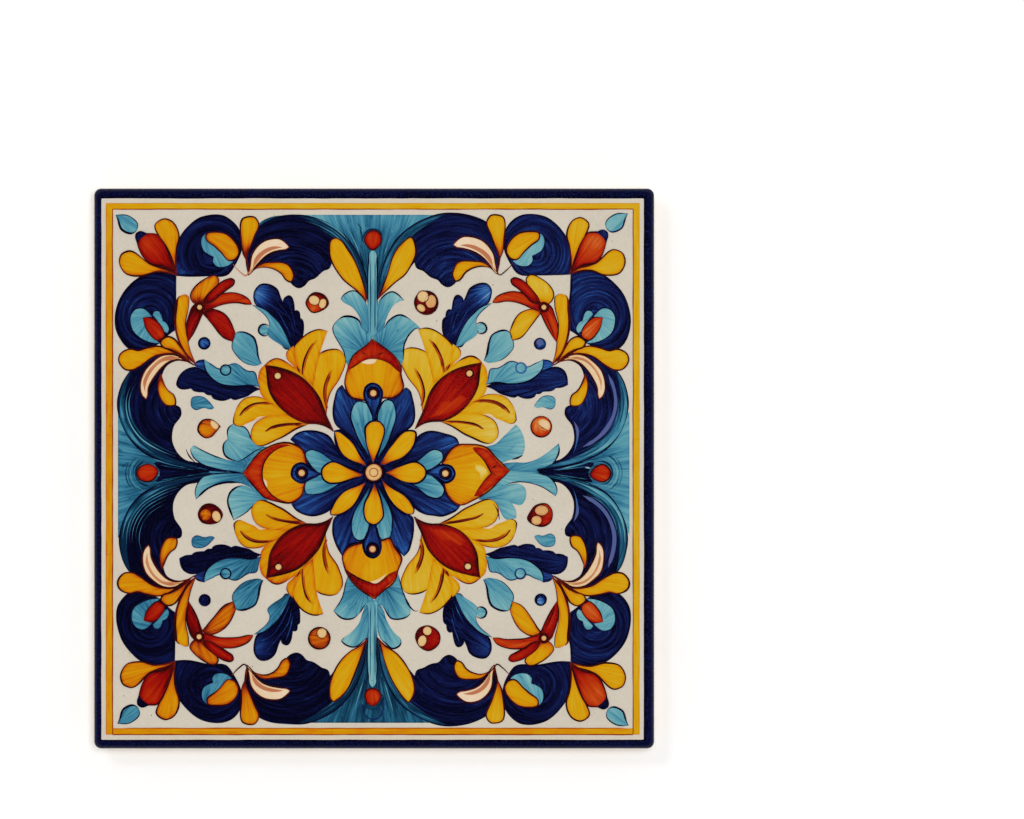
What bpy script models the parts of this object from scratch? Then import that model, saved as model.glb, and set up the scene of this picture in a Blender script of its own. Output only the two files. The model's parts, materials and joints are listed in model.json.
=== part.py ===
"""Talavera wall tile: one pressed, glazed and fired ceramic body.

The tile lies on its back with the glazed face up. Units are metres, +Z is up, and the origin
is the middle of the back, in the plane that the tile rests on.
"""

import math
import random

import bmesh
import bpy
import numpy as np

# Driving dimensions
TILE_SIDE = 0.1524  # across the glazed face: six inches
TILE_THICK = 0.0080
BACK_SIDE = 0.1504  # the pressed sides taper, so the back is a little smaller than the face
LIP_HEIGHT = 0.0032  # upright lip under the face, which meets the grout joint
CORNER_RADIUS = 0.0019  # of the square, seen from above
FACE_ROUND = 0.0012  # rolled edge of the glazed face
BACK_CHAMFER = 0.0005  # worn arris round the back

# Keyed back: a flat rim round a field of scooped dents that the mortar grips
RIM_WIDTH = 0.0056
DENT_DEPTH = 0.00055  # of the deepest dents
DENT_FIELD_CELLS = 57  # grid cells along each side of the dented field
DENT_SEED = 7
# Each row is half length, half width and how many dents of that size are tried
DENT_SIZES = (
    (0.0062, 0.0044, 90),
    (0.0048, 0.0030, 260),
    (0.0034, 0.0022, 520),
    (0.0021, 0.0015, 700),
)
DENT_OVERLAP = 0.80  # how near two dents may come, as a share of their mean size
DENT_FAN_CENTRE = (0.033, 0.026)  # the long dents fan out from about this point
DENT_FAN_SCATTER = 0.9  # radians

# Finishes
BISQUE_COLOUR = (0.60, 0.41, 0.24, 1.0)
GLAZE_COLOUR = (0.66, 0.60, 0.47, 1.0)


def clear_scene():
    """Remove whatever the scene holds."""
    for old in list(bpy.data.objects):
        bpy.data.objects.remove(old, do_unlink=True)


def make_material(name, colour, roughness):
    """A plain Principled material."""
    material = bpy.data.materials.new(name)
    material.use_nodes = True
    shader = material.node_tree.nodes["Principled BSDF"]
    shader.inputs["Base Color"].default_value = colour
    shader.inputs["Roughness"].default_value = roughness
    shader.inputs["Metallic"].default_value = 0.0
    material.diffuse_color = colour
    return material


def field_half():
    """Half the side of the dented field."""
    return BACK_SIDE / 2 - RIM_WIDTH


def lay_out_dents():
    """Scatter the dents from large to small, each as (x, y, half length, half width, angle, depth)."""
    rng = random.Random(DENT_SEED)
    dents = []
    for half_length, half_width, tries in DENT_SIZES:
        for _ in range(tries):
            long = half_length * rng.uniform(0.75, 1.15)
            wide = half_width * rng.uniform(0.8, 1.15)
            reach = field_half() - 0.85 * wide
            x = rng.uniform(-reach, reach)
            y = rng.uniform(-reach, reach)
            fan = math.atan2(y - DENT_FAN_CENTRE[1], x - DENT_FAN_CENTRE[0])
            angle = fan + rng.uniform(-DENT_FAN_SCATTER, DENT_FAN_SCATTER)
            depth = DENT_DEPTH * rng.uniform(0.6, 1.0)
            mean = (long + wide) / 2
            clear = all(
                math.hypot(x - d[0], y - d[1]) > DENT_OVERLAP * (mean + (d[2] + d[3]) / 2)
                for d in dents
            )
            if clear:
                dents.append((x, y, long, wide, angle, depth))
    return dents


def dent_depth_at(x, y, dents):
    """How deep the back is dented at a point: the deepest of the scoops that cover it."""
    cx, cy, long, wide, angle, depth = dents.T
    along = (x - cx) * np.cos(angle) + (y - cy) * np.sin(angle)
    across = (y - cy) * np.cos(angle) - (x - cx) * np.sin(angle)
    radius_squared = (along / long) ** 2 + (across / wide) ** 2
    scoops = depth * np.clip(1 - radius_squared**2, 0, None)
    return float(scoops.max())


def loop_edges(bm, height):
    """The edges that lie in one level plane."""
    return [
        edge
        for edge in bm.edges
        if all(abs(vert.co.z - height) < 1e-6 for vert in edge.verts)
    ]


def press_blank(bm):
    """The tile blank: an upright lip, tapered sides, rounded corners and soft edges."""
    bmesh.ops.create_cube(bm, size=1)
    bmesh.ops.scale(bm, vec=(TILE_SIDE, TILE_SIDE, TILE_THICK), verts=bm.verts)
    bmesh.ops.translate(bm, vec=(0, 0, TILE_THICK / 2), verts=bm.verts)
    bmesh.ops.bisect_plane(
        bm,
        geom=bm.verts[:] + bm.edges[:] + bm.faces[:],
        plane_co=(0, 0, TILE_THICK - LIP_HEIGHT),
        plane_no=(0, 0, 1),
    )
    taper = BACK_SIDE / TILE_SIDE
    back = [vert for vert in bm.verts if vert.co.z < TILE_THICK / 4]
    bmesh.ops.scale(bm, vec=(taper, taper, 1), verts=back)
    upright = [edge for edge in bm.edges if abs(edge.verts[0].co.z - edge.verts[1].co.z) > 1e-4]
    bmesh.ops.bevel(
        bm, geom=upright, offset=CORNER_RADIUS, offset_type="OFFSET", segments=5, profile=0.5, affect="EDGES"
    )
    bmesh.ops.bevel(
        bm, geom=loop_edges(bm, TILE_THICK), offset=FACE_ROUND, segments=4, profile=0.5, affect="EDGES"
    )
    bmesh.ops.bevel(bm, geom=loop_edges(bm, 0), offset=BACK_CHAMFER, segments=1, affect="EDGES")


def dent_back(bm):
    """Inset the flat rim, grid the field inside it and push its points up into the body."""
    bm.normal_update()
    (back,) = [face for face in bm.faces if face.normal.z < -0.999]
    half = field_half()
    corners = [bm.verts.new((x, y, 0)) for x, y in ((-half, -half), (-half, half), (half, half), (half, -half))]
    outline = back.edges[:]
    bm.faces.remove(back)
    field = bm.faces.new(corners)
    bmesh.ops.bridge_loops(bm, edges=outline + field.edges[:])
    bmesh.ops.subdivide_edges(bm, edges=field.edges[:], cuts=DENT_FIELD_CELLS - 1, use_grid_fill=True)
    dents = np.array(lay_out_dents())
    for vert in bm.verts:
        inside = abs(vert.co.x) < half - 1e-5 and abs(vert.co.y) < half - 1e-5
        if inside and abs(vert.co.z) < 1e-6:
            vert.co.z = dent_depth_at(vert.co.x, vert.co.y, dents)


def glaze_face(mesh, glaze_slot):
    """Give the face and its rolled edge the glaze; the sides and back stay bare bisque."""
    for polygon in mesh.polygons:
        if polygon.center.z > TILE_THICK - LIP_HEIGHT + 1e-6:
            polygon.material_index = glaze_slot


def build_tile(collection):
    """The whole tile as one solid."""
    bm = bmesh.new()
    press_blank(bm)
    dent_back(bm)
    bmesh.ops.recalc_face_normals(bm, faces=bm.faces)
    mesh = bpy.data.meshes.new("tile")
    bm.to_mesh(mesh)
    bm.free()
    mesh.materials.append(make_material("buff_bisque", BISQUE_COLOUR, 0.9))
    mesh.materials.append(make_material("tin_glaze", GLAZE_COLOUR, 0.25))
    glaze_face(mesh, 1)
    mesh.shade_smooth()
    mesh.set_sharp_from_angle(angle=math.radians(25))
    tile = bpy.data.objects.new("tile", mesh)
    collection.objects.link(tile)
    return tile


def main():
    clear_scene()
    collection = bpy.data.collections.new("talavera_tile")
    bpy.context.scene.collection.children.link(collection)
    build_tile(collection)


main()
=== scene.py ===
# %% [markdown]
# # A talavera wall tile
#
# Talavera is tin-glazed earthenware. A buff clay body is pressed in a steel mould, fired once,
# dipped in a white tin glaze, painted on the raw glaze with metal oxides and fired again. The
# paint sinks into the glaze and melts with it, so it keeps every mark of the brush and stands
# a few hundredths of a millimetre proud.
#
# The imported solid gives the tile's size. This script makes what the eye sees on it: the fired
# clay, the glaze, and the painting, built up in the order in which a painter lays it down.

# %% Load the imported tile
import json
import math
import random

import bpy
import numpy as np
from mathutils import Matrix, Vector, geometry, noise

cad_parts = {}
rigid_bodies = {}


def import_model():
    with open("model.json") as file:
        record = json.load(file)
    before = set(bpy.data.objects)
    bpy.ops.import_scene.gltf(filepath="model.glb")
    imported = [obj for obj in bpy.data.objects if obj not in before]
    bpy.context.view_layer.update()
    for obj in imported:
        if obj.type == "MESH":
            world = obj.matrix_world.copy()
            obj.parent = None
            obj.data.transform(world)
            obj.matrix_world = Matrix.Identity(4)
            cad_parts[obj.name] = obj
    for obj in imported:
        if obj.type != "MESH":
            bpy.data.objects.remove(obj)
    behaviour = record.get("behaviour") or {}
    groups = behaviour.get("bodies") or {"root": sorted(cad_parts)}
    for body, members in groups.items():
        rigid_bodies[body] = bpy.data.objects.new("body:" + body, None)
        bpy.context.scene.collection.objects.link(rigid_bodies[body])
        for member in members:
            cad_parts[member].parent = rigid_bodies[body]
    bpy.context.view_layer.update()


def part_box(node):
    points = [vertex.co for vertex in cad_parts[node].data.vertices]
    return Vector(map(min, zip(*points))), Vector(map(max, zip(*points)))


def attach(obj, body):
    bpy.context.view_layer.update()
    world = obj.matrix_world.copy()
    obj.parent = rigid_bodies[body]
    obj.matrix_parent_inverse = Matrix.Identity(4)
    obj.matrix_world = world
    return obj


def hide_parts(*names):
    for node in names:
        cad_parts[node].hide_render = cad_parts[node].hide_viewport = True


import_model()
TILE_LOW, TILE_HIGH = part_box("tile")
MM = 0.001
HALF = (TILE_HIGH.x - TILE_LOW.x) / 2 / MM
THICK = (TILE_HIGH.z - TILE_LOW.z) / MM
print(f"tile {2 * HALF:.1f} mm square and {THICK:.1f} mm thick")

# %% [markdown]
# ## Camera, floor and light
#
# The camera looks straight down through a long lens, so the square stays square. The tile lies
# left of and below the middle of the frame, as in the photograph. The photograph has no glare
# on the glaze and almost no shadow: that is cross-polarised light from a wide soft box overhead.
# So the lamps don't show in glossy reflections, and the sky is dark overhead, where the glaze
# would mirror it. Both keep the blues as deep as they are in the photograph.

# %% Camera
FRAME_WIDTH = 278.7  # millimetres of the tile's plane that the frame spans
LENS = 200.0  # focal length, in millimetres
SENSOR = 36.0  # the width of the sensor behind it
AIM = (37.54, 16.07)  # the middle of the frame, from the middle of the tile
TIP = True  # marks a point where an outline or a path keeps a corner


def add_camera():
    """A long lens looking straight down on the glazed face."""
    data = bpy.data.cameras.new("camera")
    data.lens = LENS
    data.sensor_width = SENSOR
    data.clip_end = 20
    camera = bpy.data.objects.new("camera", data)
    distance = LENS * FRAME_WIDTH / SENSOR
    camera.location = (AIM[0] * MM, AIM[1] * MM, (THICK + distance) * MM)
    bpy.context.scene.collection.objects.link(camera)
    bpy.context.scene.camera = camera
    print(f"camera {distance:.0f} mm above the face")


add_camera()

# %% Node helper and colours
ALBEDO = 0.90  # the studio light lifts a white surface a little over full, so paints are set lower
GLOSS = 0.25  # the roughness of the fired glaze, and of the paint melted into it
SHEEN = 0.22  # how much the glaze reflects straight on: less than plain glass, as through a polariser


def to_linear(code):
    """An sRGB hex code as a linear colour."""
    channels = [int(code[i : i + 2], 16) / 255 for i in (1, 3, 5)]
    linear = [c / 12.92 if c <= 0.04045 else ((c + 0.055) / 1.055) ** 2.4 for c in channels]
    return (*[ALBEDO * c for c in linear], 1.0)


def add(tree, kind, settings=None, **links):
    """Add a node, give it its settings and plug values or other sockets into its inputs."""
    node = tree.nodes.new(kind)
    for key, value in (settings or {}).items():
        setattr(node, key, value)
    for key, value in links.items():
        name = key.replace("_", " ")
        by_number = key.startswith("in") and key[2:].isdigit()
        socket = node.inputs[int(key[2:])] if by_number else node.inputs[name]
        if isinstance(value, bpy.types.NodeSocket):
            tree.links.new(value, socket)
        else:
            socket.default_value = value
    return node


def fill_ramp(node, stops):
    """Set a colour ramp to (position, colour) stops."""
    elements = node.color_ramp.elements
    while len(elements) > 1:
        elements.remove(elements[-1])
    elements[0].position = stops[0][0]
    elements[0].color = stops[0][1]
    for position, colour in stops[1:]:
        elements.new(position).color = colour


# %% Sky, lamps and floor
SKY = ((0.0, 0.55), (0.3, 0.75), (0.6, 0.6), (0.82, 0.12), (1.0, 0.02))  # (height, brightness)
SKY_WARMTH = 0.99  # the sky's blue against its red and green
LAMPS = (  # name, place and width in metres, watts
    ("soft_box", (0.4, 0.25, 3.6), 1.8, 85.0),
    ("key", (-1.6, 1.7, 2.6), 0.8, 15.0),
)
FLOOR_SIDE = 8.0  # metres
PAPER = (0.97, 0.97, 0.97, 1.0)
PAPER_ROUGHNESS = 0.9
PAPER_SHEEN = 0.1


def add_sky():
    """Pale at the horizon and dark overhead."""
    world = bpy.data.worlds.new("studio")
    world.use_nodes = True
    tree = world.node_tree
    tree.nodes.clear()
    where = add(tree, "ShaderNodeTexCoord")
    height = add(tree, "ShaderNodeSeparateXYZ", in0=where.outputs["Generated"])
    ramp = add(tree, "ShaderNodeValToRGB", in0=height.outputs["Z"])
    fill_ramp(ramp, [(at, (v, v, v * SKY_WARMTH, 1)) for at, v in SKY])
    light = add(tree, "ShaderNodeBackground", Color=ramp.outputs["Color"], Strength=1.0)
    add(tree, "ShaderNodeOutputWorld", Surface=light.outputs["Background"])
    bpy.context.scene.world = world


def add_lamp(name, place, size, power):
    """A soft box aimed at the tile, which doesn't mirror in the glaze."""
    data = bpy.data.lights.new(name, "AREA")
    data.shape = "DISK"
    data.size = size
    data.energy = power
    lamp = bpy.data.objects.new(name, data)
    lamp.location = place
    lamp.rotation_euler = (-Vector(place)).to_track_quat("-Z", "Y").to_euler()
    lamp.visible_glossy = False
    bpy.context.scene.collection.objects.link(lamp)


def add_floor():
    """A wide sheet of white paper."""
    bpy.ops.mesh.primitive_grid_add(x_subdivisions=2, y_subdivisions=2, size=FLOOR_SIDE)
    floor = bpy.context.object
    floor.name = "floor"
    material = bpy.data.materials.new("matt_white_paper")
    material.use_nodes = True
    shader = material.node_tree.nodes["Principled BSDF"]
    shader.inputs["Base Color"].default_value = PAPER
    shader.inputs["Roughness"].default_value = PAPER_ROUGHNESS
    shader.inputs["Specular IOR Level"].default_value = PAPER_SHEEN
    floor.data.materials.append(material)


add_sky()
for lamp_settings in LAMPS:
    add_lamp(*lamp_settings)
add_floor()
bpy.context.scene.view_settings.view_transform = "Standard"
bpy.context.scene.view_settings.look = "None"
print("camera, sky, two lamps and the floor are in place")

# %% [markdown]
# ## Curves, sheets and brush strokes
#
# Every painted motif is a closed outline through a few listed points, in millimetres from
# the middle of the tile. A smooth curve runs through them, and a point marked TIP keeps its
# corner. The inside is triangulated with points of its own, so that the paint can be domed, and
# each point carries three facts that the pigment's material reads:
#
# - `load`, how thick the pigment lies there, from 0 for a thin wash to 1 for a full brush;
# - `stroke`, millimetres across and along the brush marks, so the streaks follow the motif;
# - `edge`, millimetres in from the motif's outline, where the wet paint pools.
#
# Real mesh for each motif, and not one painted image, keeps every edge crisp at any zoom.

# %% Smooth curves through hand-placed points
CURVE_STEP = 0.45  # millimetres between the points of an outline


def tangents(points, corner, closed):
    """The direction of travel into and out of each point, weighed by how near its neighbours are.

    At a corner or an end the curve sets off as the arc to its neighbour would.
    """
    ahead = np.roll(points, -1, 0) - points
    chord = np.maximum(np.linalg.norm(ahead, axis=1), 1e-6)
    slope = ahead / chord[:, None]
    before = np.roll(chord, 1)
    smooth = (np.roll(slope, 1, 0) * chord[:, None] + slope * before[:, None]) / (chord + before)[:, None]
    ends = corner.copy()
    if not closed:
        ends[0] = ends[-1] = True
    leaving, arriving = smooth.copy(), smooth.copy()
    after = np.roll(smooth, -1, 0)
    both = np.roll(ends, -1)
    leaving[ends] = (1.5 * slope - 0.5 * np.where(both[:, None], slope, after))[ends]
    back = np.roll(smooth, 1, 0)
    back_slope = np.roll(slope, 1, 0)
    both = np.roll(ends, 1)
    arriving[ends] = (1.5 * back_slope - 0.5 * np.where(both[:, None], back_slope, back))[ends]
    return chord, leaving, arriving


def smooth_curve(points, closed, step=CURVE_STEP):
    """Sample a smooth curve, and say at which sample each given point lies."""
    place = np.array([p[:2] for p in points], float)
    corner = np.array([len(p) > 2 for p in points])
    chord, leaving, arriving = tangents(place, corner, closed)
    samples, marks = [], []
    count = len(place)
    for i in range(count if closed else count - 1):
        j = (i + 1) % count
        marks.append(len(samples))
        pieces = max(1, round(chord[i] / step))
        for t in np.arange(pieces) / pieces:
            a, b = place[i], place[j]
            m, n = leaving[i] * chord[i], arriving[j] * chord[i]
            h = 2 * t**3 - 3 * t**2
            samples.append((1 + h) * a - h * b + (t**3 - 2 * t**2 + t) * m + (t**3 - t**2) * n)
    if not closed:
        marks.append(len(samples))
        samples.append(place[-1])
    return np.array(samples), marks


def distance_to_path(points, path):
    """How far each point is from a path, on which side, and how far along its foot lies."""
    start, end = path[:-1], path[1:]
    run = end - start
    length = np.maximum((run**2).sum(1), 1e-12)
    gap = points[:, None, :] - start[None]
    t = np.clip((gap * run[None]).sum(2) / length, 0, 1)
    away = gap - t[..., None] * run[None]
    reach = np.hypot(away[..., 0], away[..., 1])
    nearest = reach.argmin(1)
    rows = np.arange(len(points))
    side = np.sign(run[nearest, 0] * gap[rows, nearest, 1] - run[nearest, 1] * gap[rows, nearest, 0])
    lengths = np.sqrt(length)
    so_far = np.concatenate([[0], lengths.cumsum()[:-1]])
    along = so_far[nearest] + t[rows, nearest] * lengths[nearest]
    return reach[rows, nearest], side, along


# %% The height of the glaze
WAVE = 0.035  # millimetres that the fired face swells and sinks
WAVE_LENGTH = 34.0  # millimetres from swell to swell
LEVEL = 0.04  # each coat that lies over another is this much higher
FIRST_COAT = 0.6  # the share of a coat that the lowest one stands over the glaze
CROWN = 0.018  # how far the middle of a brush mark stands over its edge
CROWN_WIDTH = 0.9  # how far in from the edge it has risen
FOOT = 0.05  # how far each mark reaches down into the glaze


def glaze_heights(points):
    """The fired face is almost flat: it swells by a few hundredths of a millimetre."""
    waves = [noise.noise(Vector((x / WAVE_LENGTH, y / WAVE_LENGTH, 4.2))) for x, y in points]
    return THICK + WAVE * np.array(waves)


def coat_heights(points, level):
    """Where paint of a given coat lies."""
    return glaze_heights(points) + LEVEL * (level + FIRST_COAT)


# %% Paint pots: one mesh is gathered for each pigment
EDGE_ANGLE = 40  # degrees, over which the shading of a mark breaks


class Pot:
    """Gathers the marks made with one pigment, and turns them into one mesh."""

    def __init__(self):
        self.points, self.faces = [], []
        self.load, self.stroke, self.edge = [], [], []
        self.count = 0

    def pour(self, points, faces, load, stroke, edge):
        """Add a mark: its points in millimetres, its faces and the three facts at each point."""
        self.points.append(points)
        self.faces += [[i + self.count for i in face] for face in faces]
        self.load.append(load)
        self.stroke.append(stroke)
        self.edge.append(edge)
        self.count += len(points)

    def mesh(self, name):
        """All the marks in this pot as one mesh, in metres."""
        points = np.concatenate(self.points) * MM
        made = bpy.data.meshes.new(name)
        made.from_pydata(points.tolist(), [], self.faces)
        for key, kind, values in (
            ("load", "FLOAT", self.load),
            ("edge", "FLOAT", self.edge),
            ("stroke", "FLOAT_VECTOR", self.stroke),
        ):
            layer = made.attributes.new(key, kind, "POINT")
            field = "vector" if kind == "FLOAT_VECTOR" else "value"
            layer.data.foreach_set(field, np.concatenate(values).astype(np.float32).ravel())
        made.shade_smooth()
        made.set_sharp_from_angle(angle=math.radians(EDGE_ANGLE))
        made.update()
        return made


POTS = {name: Pot() for name in ("cobalt", "turquoise", "yellow", "red", "peach", "blue_line", "brown_line")}
MARK_SEED = random.Random(11)

# %% Where a quadrant's motifs go
# The painter works from one pounced stencil, turned over for each quarter. The hand drifts a
# little each time, so every turned copy has its drifts: at this place, move by this much.
# The first two numbers are a place on the stencil. The three pairs are the drift there of the
# copies to the right, below and across, read from the photograph.
TURNS = {"own": (1, 1), "right": (-1, 1), "below": (1, -1), "across": (-1, -1)}
DRIFTS = (
    ((-67.0, 66.5), (1.3, 0.4), (0.5, 0.4), (1.1, 0.9)),
    ((-53.8, 52.3), (0.3, 0.4), (-0.4, -0.2), (0.3, 0.1)),
    ((-43.8, 68.9), (0.7, 0.2), (0.4, 0.1), (1.1, 0.6)),
    ((-33.9, 68.6), (0.7, 0.5), (0.0, 1.1), (0.9, 0.7)),
    ((-34.7, 52.5), (0.7, 0.2), (-0.4, 0.7), (1.5, 0.7)),
    ((-23.6, 60.6), (1.6, 0.6), (0.3, 0.2), (0.7, 1.1)),
    ((-21.9, 51.1), (0.4, 0.2), (-1.3, 0.8), (0.0, 1.5)),
    ((-20.2, 49.5), (0.4, 0.2), (-0.3, 1.0), (0.2, 1.6)),
    ((-10.7, 62.4), (0.5, 0.4), (-0.7, 0.7), (0.5, 1.0)),
    ((-11.7, 56.1), (0.5, 0.1), (-0.4, 0.4), (0.5, 0.4)),
    ((-29.8, 50.1), (0.1, 0.2), (-0.4, 2.2), (0.2, 1.4)),
    ((-29.2, 28.1), (-0.2, 0.6), (0.0, 1.3), (0.5, 1.2)),
    ((-11.1, 10.0), (-0.2, 0.7), (-0.2, 3.0), (0.1, 3.0)),
    ((-46.2, 34.2), (1.1, -0.2), (0.1, 1.8), (0.9, 1.6)),
    ((-40.4, 27.0), (0.4, 0.6), (0.0, 1.8), (0.6, 1.8)),
    ((-70.1, 43.0), (0.7, 0.0), (0.4, 0.0), (0.7, 0.4)),
    ((-69.3, 29.4), (0.2, 0.0), (-0.3, 1.5), (0.0, 1.6)),
    ((-62.3, 19.3), (0.7, 0.0), (0.7, 1.9), (1.1, 1.1)),
    ((-54.7, 17.5), (0.7, -0.1), (0.5, 1.5), (0.7, 1.0)),
    ((-52.6, 15.5), (0.5, 0.2), (0.1, 2.5), (0.5, 2.0)),
    ((-14.3, 37.5), (0.7, 0.4), (-1.1, 2.1), (0.4, 1.7)),
    ((-38.1, 13.6), (-0.4, 0.7), (0.2, 2.6), (-0.5, 2.3)),
    ((-48.7, 28.3), (0.0, 0.0), (0.0, 1.0), (0.0, 1.1)),
    ((-47.7, 43.9), (1.3, 0.0), (-0.1, 1.9), (1.3, 2.3)),
    ((-33.2, 44.6), (1.1, 0.5), (0.4, 0.6), (1.0, 1.4)),
    ((-31.1, 28.2), (1.3, 0.9), (0.7, 2.2), (1.1, 2.0)),
)
DRIFT_REACH = 3.0  # millimetres over which one drift passes into the next


def placed(points, turn):
    """Let the hand drift, then turn the stencil's points over into their quarter."""
    points = np.asarray(points, float)
    if turn != "own":
        anchors = np.array([d[0] for d in DRIFTS])
        moves = np.array([d[list(TURNS).index(turn)] for d in DRIFTS])
        gap = ((points[:, None] - anchors[None]) ** 2).sum(2)
        weight = 1 / (gap + DRIFT_REACH**2) ** 2
        points = points + (weight[..., None] * moves[None]).sum(1) / weight.sum(1)[:, None]
    return points * TURNS[turn]


# %% A filled mark
FILL_STEP = 0.55  # millimetres between the points inside an outline
EDGE_GAP = 0.45  # how near its outline they may come, as a share of that
ALONG = 0.055  # brush streaks are this much finer across than along


def is_inside(spots, outline):
    """Which points lie inside an outline, by counting the edges to their right."""
    loop = np.vstack([outline, outline[:1]])
    x, y = spots[:, 0:1], spots[:, 1:2]
    x0, y0, x1, y1 = loop[:-1, 0], loop[:-1, 1], loop[1:, 0], loop[1:, 1]
    spans = (y0 > y) != (y1 > y)
    rise = np.where(np.abs(y1 - y0) < 1e-12, 1e-12, y1 - y0)
    return (spans & (x < (x1 - x0) * (y - y0) / rise + x0)).sum(1) % 2 == 1


def inner_points(outline):
    """A honeycomb of points inside an outline, clear of its edge."""
    low, high = outline.min(0), outline.max(0)
    rows = np.arange(low[1], high[1], FILL_STEP * math.sqrt(3) / 2)
    spots = []
    for k, y in enumerate(rows):
        shift = FILL_STEP / 2 * (k % 2)
        spots += [(x, y) for x in np.arange(low[0] + shift, high[0], FILL_STEP)]
    spots = np.array(spots) if spots else np.zeros((0, 2))
    spots = spots[is_inside(spots, outline)]
    if len(spots):
        gap = distance_to_path(spots, np.vstack([outline, outline[:1]]))[0]
        spots = spots[gap > EDGE_GAP * FILL_STEP]
    return spots


def filled(outline, inner):
    """Triangles that fill an outline, using the points inside it."""
    cloud = [Vector(p) for p in np.vstack([outline, inner])]
    got = geometry.delaunay_2d_cdt(cloud, [], [list(range(len(outline)))], 0, 1e-6, True)
    flat = np.array([v[:] for v in got[0]])
    faces = np.array([f for f in got[2]])
    keep = is_inside(flat[faces].mean(1), outline)
    return flat, faces[keep].tolist()


def brush_flow(points, flow, turn):
    """Across and along co-ordinates of the brush marks, free of seams.

    A flow is ("ring", centre), ("fan", centre) or ("along", path).
    """
    kind, guide = flow
    if kind == "along":
        guide = smooth_curve(guide, False, 1.0)[0]
        gap, side, along = distance_to_path(points, placed(guide, turn))
        return np.stack([gap * side, along * ALONG, 0 * along], 1)
    centre = placed([guide], turn)[0]
    away = points - centre
    radius = np.hypot(away[:, 0], away[:, 1])
    angle = np.arctan2(away[:, 1], away[:, 0])
    if kind == "ring":
        reach = radius.mean() * ALONG
        return np.stack([radius, reach * np.cos(angle), reach * np.sin(angle)], 1)
    spread = radius.mean()
    return np.stack([spread * np.cos(angle), spread * np.sin(angle), radius * ALONG], 1)


def ease(value):
    """A smooth step from 0 to 1."""
    value = np.clip(value, 0, 1)
    return value * value * (3 - 2 * value)


MIX = {  # how much thicker the painter laid a pigment in each quarter
    "yellow": {"own": 0.05, "right": -0.08, "below": 0.11, "across": -0.06},
    "cobalt": {"own": 0.06, "right": -0.08, "below": 0.14, "across": 0.03},
    "turquoise": {"own": 0.03, "right": -0.14, "below": 0.15, "across": -0.08},
    "red": {"own": 0.02, "right": -0.05, "below": 0.03, "across": -0.05},
}
ROOT = (6.5, 0.42)  # how far a petal's dark root reaches, and how much more pigment lies there
ROOT_SHARE = {"own": 0.9, "right": 0.7, "below": 0.5, "across": 0.4}  # how much of it each quarter has
FAN_BACK = 0.45  # a fan's centre lies this far behind the base, as a share of the way to the middle


def pour_solid(pot, shape, flat, faces, top, thick, stroke, edge):
    """Close a sheet into a solid, with a wall down to its foot in the glaze, and pour it."""
    foot = glaze_heights(shape) - FOOT
    count, ring = len(flat), len(shape)
    skirt_top = [int(np.hypot(*(flat - p).T).argmin()) for p in shape]
    solid = np.vstack([np.column_stack([flat, top]), np.column_stack([shape, foot])])
    walls = []
    for i in range(ring):
        j = (i + 1) % ring
        if skirt_top[i] != skirt_top[j]:
            walls.append([skirt_top[i], count + i, count + j, skirt_top[j]])
    floor = [list(range(count + ring - 1, count - 1, -1))]
    tail = np.array(skirt_top)
    POTS[pot].pour(
        solid,
        faces + walls + floor,
        np.concatenate([thick, thick[tail]]),
        np.vstack([stroke, stroke[tail]]),
        np.concatenate([edge, edge[tail]]),
    )


def mark(pot, outline, load=(0.5, 0.5), level=1, ink=None, flow=None, base=None, turn="own", line=None,
         root=None):
    """One brush mark: a filled, faintly domed shape with its drawn outline.

    load is the pigment at the base and at the far end. level is the coat. ink is the width of
    the line all round, or a list of (first point, last point, width) stretches of it, a strength
    after the width if the line is pale. flow says how the brush went, and turn which quarter it
    is in. line is the pigment of the outline. root is how far from the base extra pigment
    reaches, and how much of it there is.
    """
    points, marks = smooth_curve(outline, True)
    base = base or next((p[:2] for p in outline if len(p) > 2), outline[0][:2])
    if flow is None:
        flow = ("fan", tuple(np.array(base) + FAN_BACK * (np.array(base) - points.mean(0))))
    shape = placed(points, turn)
    area = (shape[:, 0] * np.roll(shape[:, 1], -1) - np.roll(shape[:, 0], -1) * shape[:, 1]).sum()
    if area < 0:
        shape = shape[::-1]
    flat, faces = filled(shape, inner_points(shape))
    edge = distance_to_path(flat, np.vstack([shape, shape[:1]]))[0]
    start = placed([base], turn)[0]
    reach = np.hypot(*(flat - start).T)
    tone = reach / max(reach.max(), 1e-6)
    thick = load[0] + (load[1] - load[0]) * tone
    if root:
        share = ROOT_SHARE[turn] if root[1] > 0 else 1
        thick = thick + share * root[1] * (1 - ease(reach / root[0]))
    if pot in MIX:
        thick = thick + MIX[pot][turn]
    top = coat_heights(flat, level) + CROWN * ease(edge / CROWN_WIDTH)
    stroke = brush_flow(flat, flow, turn) + MARK_SEED.uniform(0, 90)
    pour_solid(pot, shape, flat, faces, top, thick, stroke, edge)
    if ink:
        line = line or ("blue_line" if pot in ("cobalt", "turquoise") else "brown_line")
        draw_outline(line, points, marks, outline, ink, level, turn)


# %% A drawn line
LINE_LIFT = 0.006  # over the edge of the mark that it outlines
LINE_THICK = 0.02  # from a line's edge up to its ridge, and down to its keel
WOBBLE = 0.22  # how much a line swells and thins
WOBBLE_LENGTH = 5  # millimetres
CLOSING = 3  # millimetres over which a closed line comes back to its width
LOAD_RANGE = (0.75, 1.15)  # how far a line's own width thins or fills its load
LINE_LOAD = 0.9  # how much pigment a line carries, where nothing else is said
CORNER_TAPER = (0.55, 0.55)  # of an outline's line from corner to corner
STRETCH_TAPER = (0.25, 0.25)  # of one that is drawn along a part only


def line_width(along, width, seed):
    """A brushed line swells and thins as the hand moves."""
    waves = [noise.noise(Vector((s / WOBBLE_LENGTH, seed, 0.3))) for s in along]
    return width * (1 + WOBBLE * 2 * np.array(waves))


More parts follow.
